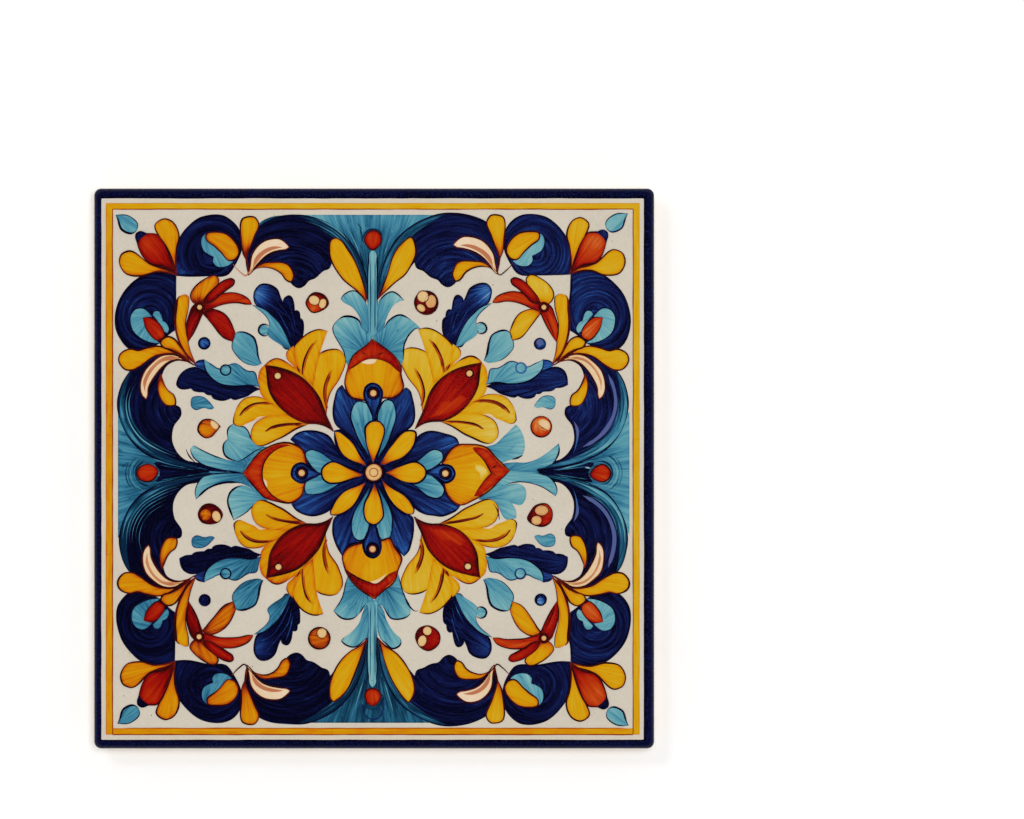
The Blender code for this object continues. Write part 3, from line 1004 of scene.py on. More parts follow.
def paint_leaves(turn):
    """The navy and sky-blue leaves round the flower."""
    mark("cobalt", [(-32.3, 48.6), (-31.1, 49.9), (-26.3, 48.6), (-25.6, 46.8), (-24.8, 45.2, TIP),
         (-24.3, 46.4), (-23.4, 46.9), (-21.6, 42.9, TIP), (-21, 43), (-20.1, 40.9, TIP), (-19.5, 40.4),
         (-19.3, 39), (-20, 35.1), (-21, 33.9), (-21.7, 32.7, TIP), (-23.4, 33.6), (-24.4, 36), (-30.4, 43.4),
         (-32.2, 44.8)], (0.8, 0.9), 1, 0.4, base=(-32.0, 47.4), turn=turn,
         root=(6.5, LEAF_LOBE[turn] - 0.85))
    for line in ([(-31.2, 46.0), (-27.4, 44.0), (-24.4, 39.6), (-22.6, 35.4)],
                 [(-29.4, 48.2), (-25.8, 44.8), (-22.8, 40.6), (-21.8, 36.4)],
                 [(-23.4, 45.6), (-22.4, 42.6), (-21.4, 38.4)]):
        pen("cobalt", line, 0.3, 1.6, (0.2, 0.1), load=0.5, turn=turn)
    mark("turquoise", [(-33.1, 44.5, TIP), (-30.5, 43.7), (-26.4, 40.1), (-22.7, 32.9, TIP), (-23.6, 32.5),
         (-25.2, 33.5), (-29.2, 37.4), (-28.6, 38.8)], (0.62, 0.36), 2, [(0, 2, 0.3), (7, 0, 0.25, 0.6)],
         base=(-23.0, 33.0), turn=turn)
    if turn != "below":
        mark("turquoise", disc((-30.0, 37.7), 1.35), (0.4, 0.4), 2, turn=turn)
        pen("blue_line", [(-28.7, 38.8), (-29.7, 39.3), (-31.0, 38.8), (-31.4, 37.3), (-30.5, 36.3),
            (-29.2, 36.2), (-28.7, 37.0)], 0.5, 2.2, (0.4, 0.3), turn=turn)
    pen("blue_line", [(-25.0, 33.5), (-24.0, 32.6), (-22.9, 32.5)], 0.35, 2.2, turn=turn)
    end = [(-51.3, 21.7), (-52.8, 21.9), (-53.6, 22.6), (-53.4, 24.2), (-52.4, 25.9), (-50.7, 27.1)]
    if turn != "own":
        end = [(-51.3, 22.1), (-53.2, 22.8, TIP), (-52.8, 24.6), (-51.7, 26.6), (-50.3, 27.4)]
    mark("cobalt", [*end, (-48.7, 27.5), (-46.9, 26.9), (-45.0, 25.8), (-43.0, 24.2), (-40.5, 23.3),
         (-38.0, 22.9), (-34.5, 22.8), (-31.0, 21.6, TIP), (-32.8, 21.0), (-34.4, 19.9), (-36.4, 19.2),
         (-38.3, 18.8), (-39.0, 19.2, TIP), (-40.3, 18.7), (-42.4, 18.7), (-44.0, 19.4), (-44.3, 20.0, TIP),
         (-45.4, 20.2), (-46.3, 20.8, TIP), (-48.0, 21.0), (-49.2, 21.3), (-49.8, 21.9, TIP)], (0.74, 0.88),
         1, 0.4, base=(-52.0, 24.0), turn=turn)
    mark("cobalt", [(-49.2, 28.2, TIP), (-47.8, 29.3), (-46.2, 29.7, TIP), (-45.6, 28.0), (-45.6, 26.2),
         (-47.2, 27.0)], (0.35, 0.62), 1.2, [(0, 2, 0.4)], turn=turn)
    mark("turquoise", [(-46.2, 29.6, TIP), (-44.2, 28.3), (-42.4, 27.2), (-41, 27.2), (-39.5, 28.2),
         (-38, 28.6), (-34.3, 26.5), (-32.7, 26.3), (-31.6, 23.4), (-31, 22.2, TIP), (-33.9, 22.7),
         (-37, 22.4), (-43.4, 23.9), (-46.1, 27.6)], (0.6, 0.36), 2, [(0, 9, 0.25, 0.6), (9, 0, 0.4)],
         base=(-34.0, 22.8), turn=turn)
    mark("turquoise", disc((-40.4, 26.8), 1.3), (0.35, 0.5), 2.5, turn=turn)
    pen("blue_line", disc((-40.4, 26.8), 1.4), 0.42, 2.9, closed=True, load=LEAF_RING[turn], turn=turn)
    mark("turquoise", [(-49.9, 17.9), (-49.7, 19), (-47, 19.6), (-44.4, 17.6), (-43.6, 16.4), (-44.5, 16.1),
         (-46.2, 16.5), (-48.8, 16.1), (-49.7, 16.8)], (0.56, 0.46), 2, [(0, 4, 0.22, 0.5),
         (6, 0, 0.22, 0.6)], base=(-49.6, 17.4), turn=turn)


# %% Acanthus and the red leaf
LEAF_LIGHT = {"right": 0.5, "across": 0.56}  # only these two have a light along the red leaf
PALER = {"own": -0.04, "right": -0.12, "below": -0.1, "across": -0.08}  # how much less at the tips


def paint_acanthus(turn):
    """Yellow lobes fanning from the middle, with umber strokes, and the red leaf along them."""
    fan = ("fan", (-10.0, 7.0))
    pale = PALER[turn]
    mark("yellow", [(-29.9, 28.1, TIP), (-26.8, 29.9), (-22.6, 28.2), (-14.5, 19.5), (-13, 14.5),
         (-17.5, 12.4), (-22, 13.2), (-26.5, 15.5), (-29, 18), (-30.6, 19.9), (-31.6, 24.6), (-31, 27)],
         (0.5, 0.36 + pale), 1, [(0, 2, 0.4, 0.75)], flow=fan, turn=turn)
    mark("yellow", [(-13, 13.8, TIP), (-14.5, 17), (-17, 24), (-16.2, 28), (-15.4, 30.6), (-8.7, 31.7),
         (-7.9, 30.2), (-9.2, 25), (-12.2, 20)], (0.48, 0.36 + pale), 1.5, [(4, 5, 0.4), (5, 0, 0.28, 0.6)],
         flow=fan, turn=turn)
    mark("yellow", [(-16.5, 22.5, TIP), (-19.5, 25.2), (-21.8, 30.5), (-21.7, 32.9), (-20.6, 34.5),
         (-14.4, 37.8), (-12.7, 37.4, TIP), (-14.3, 32.8)], (0.5, 0.36 + pale), 2, [(3, 6, 0.38)], flow=fan,
         turn=turn)
    mark("yellow", [(-20.6, 26.6, TIP), (-22.4, 28.4), (-23.6, 29.6), (-23.9, 31), (-21.9, 33.4, TIP),
         (-21.3, 30), (-20.6, 27.6)], (0.5, 0.4 + pale), 1.7, [(2, 4, 0.22, 0.4)], flow=fan, turn=turn)
    mark("yellow", [(-22, 14.6, TIP), (-29, 18.6), (-31, 19.4), (-35.2, 19), (-37.9, 15.2),
         (-38.3, 12.6, TIP), (-37.6, 11.7), (-36.4, 11.5), (-34.6, 12.3), (-29.5, 13.9), (-25, 14)],
         (0.5, 0.36 + pale), 1.5, [(1, 4, 0.22, 0.45), (4, 7, 0.38)], flow=fan, turn=turn)
    mark("yellow", [(-17.8, 12.1, TIP), (-25, 14.6), (-28.5, 14.2), (-32.6, 12), (-33.3, 8), (-32.2, 6.6),
         (-25.8, 8.2), (-20.4, 11.2)], (0.5, 0.34 + pale), 2, [(2, 5, 0.22, 0.45), (5, 0, 0.42)], flow=fan,
         turn=turn)
    strokes = (
        [(-19.5, 25.6), (-19.3, 28.3), (-18.3, 31.3), (-17.2, 33.3), (-15.7, 34.9)],
        [(-12.9, 16.5), (-13.7, 19.5), (-13.5, 22.5), (-12.7, 25.0), (-11.7, 26.9)],
        [(-21.0, 27.8), (-20.6, 26.9), (-20.0, 25.8)],
        [(-36.6, 14.4), (-35.3, 16.1), (-33.0, 17.5), (-30.3, 17.9), (-27.3, 17.5)],
        [(-29.6, 10.1), (-27.6, 11.4), (-25.0, 12.0), (-21.5, 12.2), (-18.5, 12.1)],
    )
    for stroke in strokes:
        pen("yellow", [(x + 0.35, y - 0.1) for x, y in stroke], 0.9, 2.2, (0.2, 0.1), load=0.72, turn=turn)
        pen("brown_line", stroke, 0.42, 2.8, (0.7, 0.1), load=0.78, turn=turn)
    pen("peach", [(-32.8, 13.0), (-31.2, 13.9), (-29.6, 14.1)], 0.5, 2.8, (0.2, 0.2), load=0.1, turn=turn)
    mark("red", [(-29.6, 28.1, TIP), (-19.8, 24.8), (-15.4, 20), (-12.7, 13.6), (-11, 10.1, TIP),
         (-13.2, 11.6), (-15.6, 12.2), (-18, 12.3), (-23.2, 14.6), (-28.5, 21.4), (-29.2, 26.4)], (0.7, 0.86),
         3, 0.45, ("fan", (-8.0, 6.0)), (-20.5, 18.5), turn)
    if turn in LEAF_LIGHT:
        load = LEAF_LIGHT[turn]
        mark("red", [(-12.4, 11.6, TIP), (-16, 12.9), (-19.6, 13.6), (-22.8, 15), (-26.4, 18.6, TIP),
             (-24, 19.8), (-21.4, 18.2, TIP), (-19.6, 18.4), (-16, 15.2)], (load, load), 3.2,
             flow=("fan", (-8.0, 6.0)), turn=turn)
    mark("peach", disc((-26.2, 25.2), 1.05), (0.5, 0.45), 4, 0.42, turn=turn)


for name in TURNS:
    paint_discs(name)
    paint_fan(name)
    paint_top_scroll(name)
    paint_side_scroll(name)
    paint_flower(name)
    paint_leaves(name)
    paint_acanthus(name)
print(f"four quarters: {sum(len(p.faces) for p in POTS.values()):,} faces")

# %% [markdown]
# ## The four stems
#
# Between the quarters, tulips on copper-green stems run out from the middle to the sides. These
# were painted freehand, so no two match: each is drawn from its own outline.

# %% Fields and knobs behind the stems
def paint_fields():
    """Copper wash between the scrolls, dark at the stem and thin at the border, and three touches."""
    mark("turquoise", [(-19.5, 69.05, TIP), (18.5, 69.05, TIP), (10.5, 63.2), (5.2, 55), (1.2, 46, TIP),
         (-2.2, 46, TIP), (-6, 56), (-11, 63)], (0.96, 0.3), 0, flow=("fan", (-0.4, 44.0)), base=(-0.4, 52.0))
    mark("turquoise", [(-18.5, -69.2, TIP), (-11, -63), (-6, -56), (-2.2, -46, TIP), (1.2, -46, TIP),
         (5.2, -56), (10.6, -63.2), (18, -69.2, TIP)], (1.0, 0.66), 0, flow=("fan", (-0.4, -44.0)),
         base=(-0.4, -52.0))
    mark("turquoise", [(-69.7, 17, TIP), (-65.4, 10.6), (-58, 5.2), (-40, -0.9, TIP), (-50, -3.6),
         (-57, -7.2), (-69.7, -19, TIP)], (1.0, 0.5), 0, flow=("fan", (-42.0, -1.0)), base=(-46.0, -1.0))
    mark("turquoise", [(69.5, 15.5, TIP), (69.5, -18, TIP), (64.4, -12), (42.8, -0.8, TIP), (50, 1.7),
         (57, 4.6)], (1.0, 0.3), 0, flow=("fan", (44.0, -1.0)), base=(48.0, -1.0))
    mark("turquoise", [(-3.4, -62.6, TIP), (-1.2, -68.1), (0.5, -68.2), (3, -62.6, TIP), (0, -60)],
         (0.95, 0.78), 0.5, [(0, 3, 0.3, 0.5)], base=(-0.3, -61.0))
    for side in (-1, 1):
        mark("turquoise", [(side * 46.0, -0.8, TIP), (side * 40.0, 0.5), (side * 33.0, 0.6, TIP),
             (side * 33.0, -2.0, TIP), (side * 40.0, -2.1)], (0.6, 0.5), 0.4)


def hug(centre, radius, start, end, load, width):
    """A stroke that follows part of a circle, from one compass bearing to another."""
    turns = np.radians(np.linspace(90 - start, 90 - end, 7))
    path = [(centre[0] + radius * math.cos(a), centre[1] + radius * math.sin(a)) for a in turns]
    pen("turquoise", path, width, 0.9, (0.15, 0.15), load=load)


def paint_knobs():
    """A red berry at the end of each stem, with the brush turned round it."""
    for centre, way, arcs in (
        ((-0.35, 62.3), 0, ((2.75, 120, 0.95, 0.6), (3.3, 100, 0.8, 0.3))),
        ((-0.3, -62.2), 180, ((2.75, 120, 0.95, 0.6), (3.3, 100, 0.8, 0.3))),
        ((-61.6, -1.3), 270, ((3.3, 120, 0.95, 0.5), (4.0, 100, 0.85, 0.3), (4.7, 80, 0.55, 0.25),
                              (5.3, 70, 0.85, 0.3), (6.0, 60, 0.75, 0.25))),
        ((61.7, -1.2), 95, ((3.2, 120, 0.95, 0.5), (3.9, 110, 0.6, 0.3), (4.5, 80, 0.35, 0.3),
                            (5.1, 90, 0.8, 0.3), (5.8, 60, 0.7, 0.25))),
    ):
        for radius, span, load, width in arcs:
            hug(centre, radius, way - span, way + 0.8 * span, load, width)
    for side, drop in ((-1, 0.1), (1, 0.0)):
        wedge = [(40.4, 0.95, TIP), (46.0, -0.1), (52.0, -1.3), (57.0, -2.1), (60.2, -1.6), (58.6, 1.2),
                 (59.8, 3.8), (56.0, 3.5), (50.0, 2.2), (45.0, 1.3)]
        mark("cobalt", [(side * p[0], drop - p[1], *p[2:]) for p in wedge], (0.98, 0.84), 0.3)
    berries = (
        ([(-2.6, 62.3), (-0.4, 59.5), (2, 62), (1.6, 63.8), (0.2, 64.7), (-1.6, 64.2)], (-0.3, 60.0)),
        ([(-2.4, -61.8), (-2, -60.4), (1, -60.3), (1.8, -61.8), (-0.3, -64.5), (-1.8, -63.8)],
         (-0.3, -60.0)),
        ([(-64.5, -1.3), (-63.9, 0.2), (-61, 1.1), (-58.8, -0.6), (-60.6, -3.3), (-63.8, -2.9)],
         (-59.0, -0.8)),
        ([(58.9, -1.6), (59.6, -0.2), (62.4, 1.1), (64.4, -1), (64, -2.6), (62.8, -3.5)], (59.5, -1.0)),
    )
    for berry, base in berries:
        mark("red", berry, (0.46, 0.36), 3, 0.4, base=base)
    ticks = (
        ([(-7.4, 65.6), (-5.6, 62.4), (-3.8, 58.0)], 0.3, 0.25),
        ([(-5.6, 67.6), (-3.9, 66.0), (-2.9, 63.6)], 0.75, 0.25),
        ([(-2.4, 67.4), (-2.3, 66.2), (-1.7, 65.0)], 0.7, 0.25),
        ([(-4.8, 60.4), (-3.4, 57.4), (-2.4, 53.6)], 0.85, 0.35),
        ([(-4.2, 66.6), (-3.4, 63.6), (-2.9, 60.0)], 0.85, 0.35),
        ([(5.6, 65.8), (4.2, 62.6), (2.8, 58.2)], 0.5, 0.25),
        ([(4.6, 64.4), (3.0, 60.4), (1.6, 54.8)], 0.85, 0.4),
        ([(-5.4, -66.0), (-4.4, -62.4), (-3.0, -58.0)], 0.5, 0.25),
        ([(-4.4, -65.0), (-3.2, -61.0), (-2.2, -55.8)], 0.85, 0.4),
        ([(5.2, -66.2), (4.2, -62.6), (2.8, -58.2)], 0.5, 0.25),
        ([(4.2, -65.0), (3.0, -60.6), (1.7, -55.0)], 0.85, 0.4),
        ([(-60.0, 2.6), (-56.0, 1.3), (-51.0, 0.2)], 0.6, 0.3),
        ([(-58.0, 0.9), (-54.0, 0.2), (-49.0, -0.3)], 0.75, 0.25),
        ([(-60.0, -5.4), (-56.0, -3.9), (-51.0, -2.6)], 0.6, 0.3),
        ([(-58.0, -3.2), (-54.0, -2.5), (-49.0, -1.7)], 0.75, 0.25),
        ([(60.0, 2.4), (56.0, 1.1), (50.6, -0.1)], 0.55, 0.35),
        ([(58.0, 0.6), (54.0, 0.1), (49.0, -0.4)], 0.75, 0.25),
        ([(60.0, -4.6), (56.4, -3.6), (50.8, -2.1)], 0.5, 0.35),
        ([(58.0, -2.9), (54.0, -2.3), (49.0, -1.5)], 0.75, 0.25),
        ([(-58.9, -1.7), (-58.4, -1.85)], 0.0, 0.4),
        ([(57.4, 0.35), (58.9, 0.1)], 0.0, 0.4),
    )
    for tick, load, width in ticks:
        pen("turquoise", tick, width, 1, (0.2, 0.2), load=load)


def stem_lines(way):
    """Two thin strokes down a stem, which points up or down."""
    for x in (-1.0, 0.25):
        path = [(x, way * 37.0), (x, way * 46.0), (x + 0.05, way * 57.5)]
        pen("turquoise", path, 0.28, 1.3, (0.6, 0.1), load=0.72)


def wing(outline):
    """One of the two dark leaves that hold a tulip."""
    mark("cobalt", outline, (0.84, 0.44), 1, 0.45)


def inner_leaf(outline):
    """The copper leaf on a wing."""
    mark("turquoise", outline, (0.74, 0.3), 2, 0.35)


def tulip_drop(outline, centre):
    """The blue drop in a tulip, and the pale stud on it with a dark ring round it."""
    mark("cobalt", outline, (0.48, 0.44), 3.5, 0.6)
    pen("cobalt", disc(centre, 1.5), 0.75, 3.9, closed=True)
    mark("peach", disc(centre, 1.05), (0.5, 0.5), 4.5, 0.35)


# %% North stem
def paint_north():
    """The stem, plumes and tulip above the middle."""
    mark("turquoise", [(-2, 36), (-1.7, 44), (-1.5, 56), (-1.1, 58.8), (-0.3, 59.6), (0.5, 58.8), (0.8, 56),
         (0.8, 50), (0.9, 44), (1, 36)], (0.4, 0.22), 1, [(1, 3, 0.35), (5, 8, 0.35)],
         flow=("along", [(-0.4, 36.0), (-0.4, 60.0)]), base=(-0.4, 36.0))
    stem_lines(1)
    mark("turquoise", [(-1.8, 36.6), (-3.4, 38.5), (-3.6, 40), (-6.5, 44.3), (-8.1, 45.1), (-9.1, 46.1, TIP),
         (-8.6, 46.9), (-5.7, 48.4), (-2.2, 45.2), (-1.5, 41)], (0.62, 0.22), 1.5, [(5, 8, 0.4)],
         base=(-1.5, 38.0))
    mark("turquoise", [(1, 36.6), (2.7, 38.3), (3.1, 40), (6.5, 45.3), (8.1, 45.8, TIP), (5, 48.1),
         (1.2, 45.2), (0.8, 41)], (0.62, 0.22), 1.5, [(4, 6, 0.4)], base=(0.8, 38.0))
    mark("turquoise", [(-0.5, 35.6), (-3.4, 38.4), (-3.9, 40), (-8.7, 41.2), (-10, 40.3), (-10.9, 39.2),
         (-8, 31), (-7.6, 29), (-7, 27.2, TIP), (-2.6, 32.6)], (0.66, 0.22), 2, [(1, 4, 0.5), (4, 7, 0.3)],
         base=(-3.2, 32.5))
    mark("turquoise", [(-0.4, 35.7), (2.7, 38.3), (3.9, 40.1), (7, 41.8), (10, 40.5), (12.8, 38, TIP),
         (11.6, 38.2), (10.2, 37.2), (8.3, 34), (7.9, 29.5), (7.2, 27, TIP), (2.6, 32.6)], (0.66, 0.22), 2,
         [(1, 4, 0.5), (5, 9, 0.4)], base=(3.0, 32.5))
    mark("yellow", [(-0.5, 35.2, TIP), (-2, 33.6), (-5.8, 30.5), (-7.3, 26.6), (-7.9, 22.8), (-6, 19.3),
         (-4, 18.8), (-1, 18.5), (2.2, 19.2), (5, 19.3), (7.9, 21.8), (7.3, 26), (7.4, 26.8), (5.5, 30.7),
         (3.5, 32.3)], (0.34, 0.62), 3, 0.45, flow=("fan", (0.0, 8.0)), base=(-1.0, 26.0))
    mark("red", [(-7.3, 26.6), (-6.2, 27.3), (-1.3, 29.9), (4.5, 28.4), (6.2, 26.8), (7.3, 25.9, TIP),
         (7.2, 26.9), (5.3, 30.6), (3.4, 32.1), (-0.5, 34.9, TIP), (-2, 33.4), (-4, 32), (-6.8, 28.2)],
         (0.32, 0.6), 4, [(0, 5, 0.3)], base=(-7.3, 27.0), flow=("fan", (0.0, 20.0)))
    pen("brown_line", [(-3.8, 32.2), (-2.6, 31.2), (-1.5, 30.6)], 0.4, 4.3, load=0.7)
    pen("brown_line", [(3.8, 31.8), (1.6, 31.2), (-0.5, 30.4)], 0.4, 4.3, load=0.7)
    mark("peach", [(-3.6, 28.9, TIP), (-1.6, 29.7), (0.8, 29.8, TIP), (0.2, 28.8), (-1.6, 28.4)], (0.0, 0.1),
         3.6)
    wing([(-0.9, 1.2, TIP), (-3.2, 4.6), (-6.6, 9.2), (-10.3, 12), (-10.6, 19.2), (-9.8, 21.6),
         (-8.7, 22.7, TIP), (-6.9, 19.9), (-2.2, 17.5), (-0.6, 14)])
    wing([(0.6, 1.2, TIP), (6.6, 9.2), (10.3, 11.9), (10.4, 19), (9.5, 21.4), (8.6, 22, TIP), (6.3, 19.7),
         (2.2, 18), (0.8, 14)])
    inner_leaf([(-1.2, 3, TIP), (-5.2, 10.2), (-6.3, 15.2), (-4.6, 18.2), (-2, 17.8), (-0.3, 13),
               (-1.2, 9)])
    inner_leaf([(1, 3, TIP), (2.6, 5), (4.9, 10.2), (5.95, 15.2), (4.6, 18.5), (3.4, 18.7), (1.4, 16.2),
               (1.2, 9)])
    tulip_drop([(-0.1, 13.4, TIP), (-1, 16), (-2.7, 20.4), (-2.2, 22.2), (-0.9, 23.1), (0.7, 22.9),
               (1.9, 21.7), (0.9, 16)], (-0.2, 20.5))


# %% South stem
def paint_south():
    """The stem, plumes and tulip below the middle."""
    mark("turquoise", [(-2, -36), (-1.7, -44), (-1.6, -56), (-1.1, -58.8), (-0.4, -59.5), (0.3, -58.8),
         (0.7, -56), (0.7, -50), (0.8, -44), (1, -36)], (0.4, 0.22), 1, [(1, 3, 0.35), (5, 8, 0.35)],
         flow=("along", [(-0.5, -36.0), (-0.5, -60.0)]), base=(-0.5, -36.0))
    stem_lines(-1)
    mark("turquoise", [(-2, -37), (-3.2, -39.4), (-3.8, -41.4), (-6.6, -44.9), (-8.2, -46),
         (-8.9, -46.9, TIP), (-7.8, -47.9), (-5, -48.5), (-3.4, -47.3), (-2, -46), (-1.4, -41)], (0.62, 0.24),
         1.5, [(4, 9, 0.35)], base=(-1.6, -39.0))
    mark("turquoise", [(1.2, -36.6), (2.6, -38.6), (3.3, -41), (5.8, -45), (7.2, -46.4), (7.3, -47.6),
         (5, -49), (3.2, -47.6), (1.6, -46), (0.9, -41)], (0.62, 0.24), 1.5, [(4, 8, 0.4)], base=(0.8, -39.0))
    mark("turquoise", [(-7.2, -29.4, TIP), (-7.7, -31.2), (-8.8, -35.4), (-11, -38.7, TIP), (-8.2, -40.9),
         (-5.4, -40.6), (-4.2, -39.6), (-2.2, -36.8), (-0.2, -35.6), (-2.6, -32.6), (-5, -30.4)],
         (0.66, 0.24), 2, [(0, 3, 0.3), (3, 6, 0.5), (6, 7, 0.3)], base=(-3.4, -33.0))
    mark("turquoise", [(6.6, -28.8, TIP), (8.6, -35.4), (9.9, -37.8), (9.8, -39.4), (4.8, -40.8),
         (2.4, -37.6), (0.2, -35.6), (2.6, -32.8)], (0.66, 0.24), 2, [(0, 2, 0.3), (3, 5, 0.5)],
         base=(3.4, -33.0))
    pen("blue_line", [(8.1, -33.8), (9.9, -37.8), (11.2, -38.8), (12.0, -38.7)], 0.4, 2.3)
    mark("yellow", [(-3, -20.2), (-7.4, -21.9), (-8.6, -23.8), (-8.3, -26), (-6.6, -29.9), (0.1, -35.5, TIP),
         (2.8, -33), (4.8, -31.6), (6, -29.8), (6.4, -28), (7.5, -24.4), (5.6, -21.4), (4.2, -19),
         (2, -19.6)], (0.34, 0.62), 3, 0.45, flow=("fan", (0.0, -8.0)), base=(0.0, -27.0))
    mark("red", [(-7.6, -27.6), (-5.6, -29), (-1.2, -31), (0, -31.3), (5, -28.3), (6.2, -27.8, TIP),
         (5.8, -29.7), (2.7, -32.8), (0.1, -35.2, TIP), (-6.4, -29.8)], (0.78, 0.4), 4, [(0, 5, 0.3)],
         base=(-7.0, -28.0), flow=("fan", (0.0, -20.0)))
    mark("peach", [(-1.1, -30.8, TIP), (1.8, -29.7), (3.3, -28.5, TIP), (2.4, -30), (0, -31.3)], (0.1, 0.1),
         4.5)
    wing([(-1.4, -3.6, TIP), (-8.4, -12.2), (-10.6, -13.4), (-11.2, -16.5), (-8.7, -23.6, TIP),
         (-6.3, -20.6), (-4, -20.1), (-1.5, -17), (-0.8, -10)])
    wing([(1.2, -3.6, TIP), (8, -12.2), (10.3, -13.2), (10.7, -16), (10.2, -19.5), (9.2, -22.6),
         (8.1, -23.8, TIP), (6.8, -22.4), (5, -20.3), (4.6, -19.2), (1.5, -17), (0.8, -10)])
    inner_leaf([(-1.2, -5, TIP), (-3.8, -9), (-5.4, -11.8), (-6, -17.2), (-5.2, -19), (-3.7, -19.6),
               (-2.5, -19), (-1.7, -17), (-1.2, -10)])
    inner_leaf([(1, -5, TIP), (5, -14.6), (3.9, -19), (2.6, -19.5), (1.4, -18.6), (0.8, -12)])
    tulip_drop([(-0.2, -15.4, TIP), (-1.2, -16.4), (-2.1, -18.4), (-2.9, -20.2), (-1.5, -23.8),
               (-0.2, -24.2), (1.2, -23.4), (1.9, -21.6), (0.9, -17.4), (0.4, -15.8)], (-0.4, -21.9))


# %% West stem
def paint_west():
    """The plumes and tulip left of the middle."""
    mark("turquoise", [(-28.7, 6, TIP), (-30.6, 6.1), (-33.6, 8.4), (-34.3, 10.2), (-35.3, 11.3),
         (-36.8, 11.6), (-38.3, 12.2, TIP), (-39.5, 11.2), (-39.8, 8, TIP), (-32, 4.6)], (0.55, 0.2), 1,
         [(1, 6, 0.3), (6, 8, 0.4)])
    mark("turquoise", [(-39.8, 8, TIP), (-40.8, 6.9), (-40.6, 3.7), (-37.5, 2.1), (-31.9, 5),
         (-29.8, 5.9, TIP), (-35.2, 5.8)], (0.2, 0.5), 2, [(0, 3, 0.55), (3, 5, 0.35)])
    mark("turquoise", [(-49.9, 5.5), (-49.2, 6.2), (-47.5, 5.3), (-40.5, 2.5), (-38, 2.1), (-32, 5.1, TIP),
         (-34.8, 1), (-35.6, -1.2, TIP), (-43.5, 0.1), (-46.2, 0.9), (-49.5, 3.7)], (0.64, 0.22), 1.5,
         [(1, 3, 0.3), (7, 0, 0.4)], base=(-35.5, 0.6))
    mark("turquoise", [(-48.4, -8.3, TIP), (-48.7, -6.8), (-46, -1.9), (-43, -1.4), (-35.7, -1.3, TIP),
         (-31.4, -6.2), (-28.9, -8.5, TIP), (-31.5, -7), (-34, -5), (-36.4, -4), (-45.2, -5.4)], (0.64, 0.22),
         1.5, [(0, 4, 0.3), (9, 0, 0.5)], base=(-35.5, -2.4))
    mark("turquoise", [(-29, -8.6, TIP), (-30.8, -8.8), (-35.2, -12.2), (-38.2, -14, TIP), (-38.8, -12.4),
         (-39.8, -8.3), (-39.2, -6.6), (-35.8, -4.6), (-31.4, -6.9)], (0.55, 0.24), 1, [(0, 3, 0.3),
         (3, 7, 0.5)])
    pen("blue_line", [(-51.2, 5.2), (-50.0, 3.0), (-48.7, 1.7)], 0.45, 2)
    mark("yellow", [(-35.6, -1.3, TIP), (-34.2, 0.6), (-31.2, 4.3), (-22.4, 6.8), (-19.6, 5.2), (-18.4, 1.4),
         (-18, -1.2), (-19.2, -5.2), (-19.5, -6.8), (-22.2, -9.2), (-26.2, -8.9), (-30.2, -7.5),
         (-31.8, -5.8)], (0.36, 0.62), 3, 0.45, flow=("fan", (-8.0, -1.2)), base=(-26.0, -1.2))
    mark("red", [(-22.8, 6.3, TIP), (-26.2, 5.4), (-29.9, 1.6), (-30.3, -3), (-26, -8.4), (-24, -9, TIP),
         (-30.1, -7.3), (-31.6, -5.7), (-35.2, -1.3, TIP), (-31.1, 4), (-24.3, 6.6)], (0.45, 0.4), 4,
         [(0, 5, 0.3)], base=(-24.0, 6.0), flow=("fan", (-20.0, -1.2)))
    mark("peach", [(-30.3, -2.6, TIP), (-30.0, -4.0), (-29.1, -5.2, TIP), (-29.2, -3.6)], (0.1, 0.1), 3.6)
    wing([(-2.2, -0.4, TIP), (-6.2, 1.8), (-9, 3.6), (-12.6, 8.9), (-21.4, 9.2), (-22.7, 7.9, TIP),
         (-20, 5.6), (-16.5, 0.8), (-14.4, -0.6), (-8, -0.8)])
    wing([(-2.2, -1.8, TIP), (-3.8, -4.2), (-6.5, -5.3), (-8.8, -6.8), (-13, -11.8), (-17.2, -12.8),
         (-21.3, -11.1), (-22.4, -9.7, TIP), (-19.6, -6.6), (-18.6, -3.8), (-16, -2.2), (-8, -1.6)])
    inner_leaf([(-8, 0, TIP), (-11, 1.9), (-15.2, 4.7), (-17.2, 5.15), (-18.4, 4.6), (-16.4, -0.1),
               (-14.9, -1.3), (-12, -1.4)])
    inner_leaf([(-8, -3, TIP), (-15, -6.9), (-18.6, -6.7), (-18.7, -3.9), (-15.8, -2.2), (-14.6, -1.6),
               (-12, -2)])
    tulip_drop([(-14.9, -1.5, TIP), (-16.8, -0.3), (-20, 1.5), (-21.6, 0.8), (-22.4, -2), (-20, -3.9),
               (-16.7, -2.4)], (-19.7, -1.2))


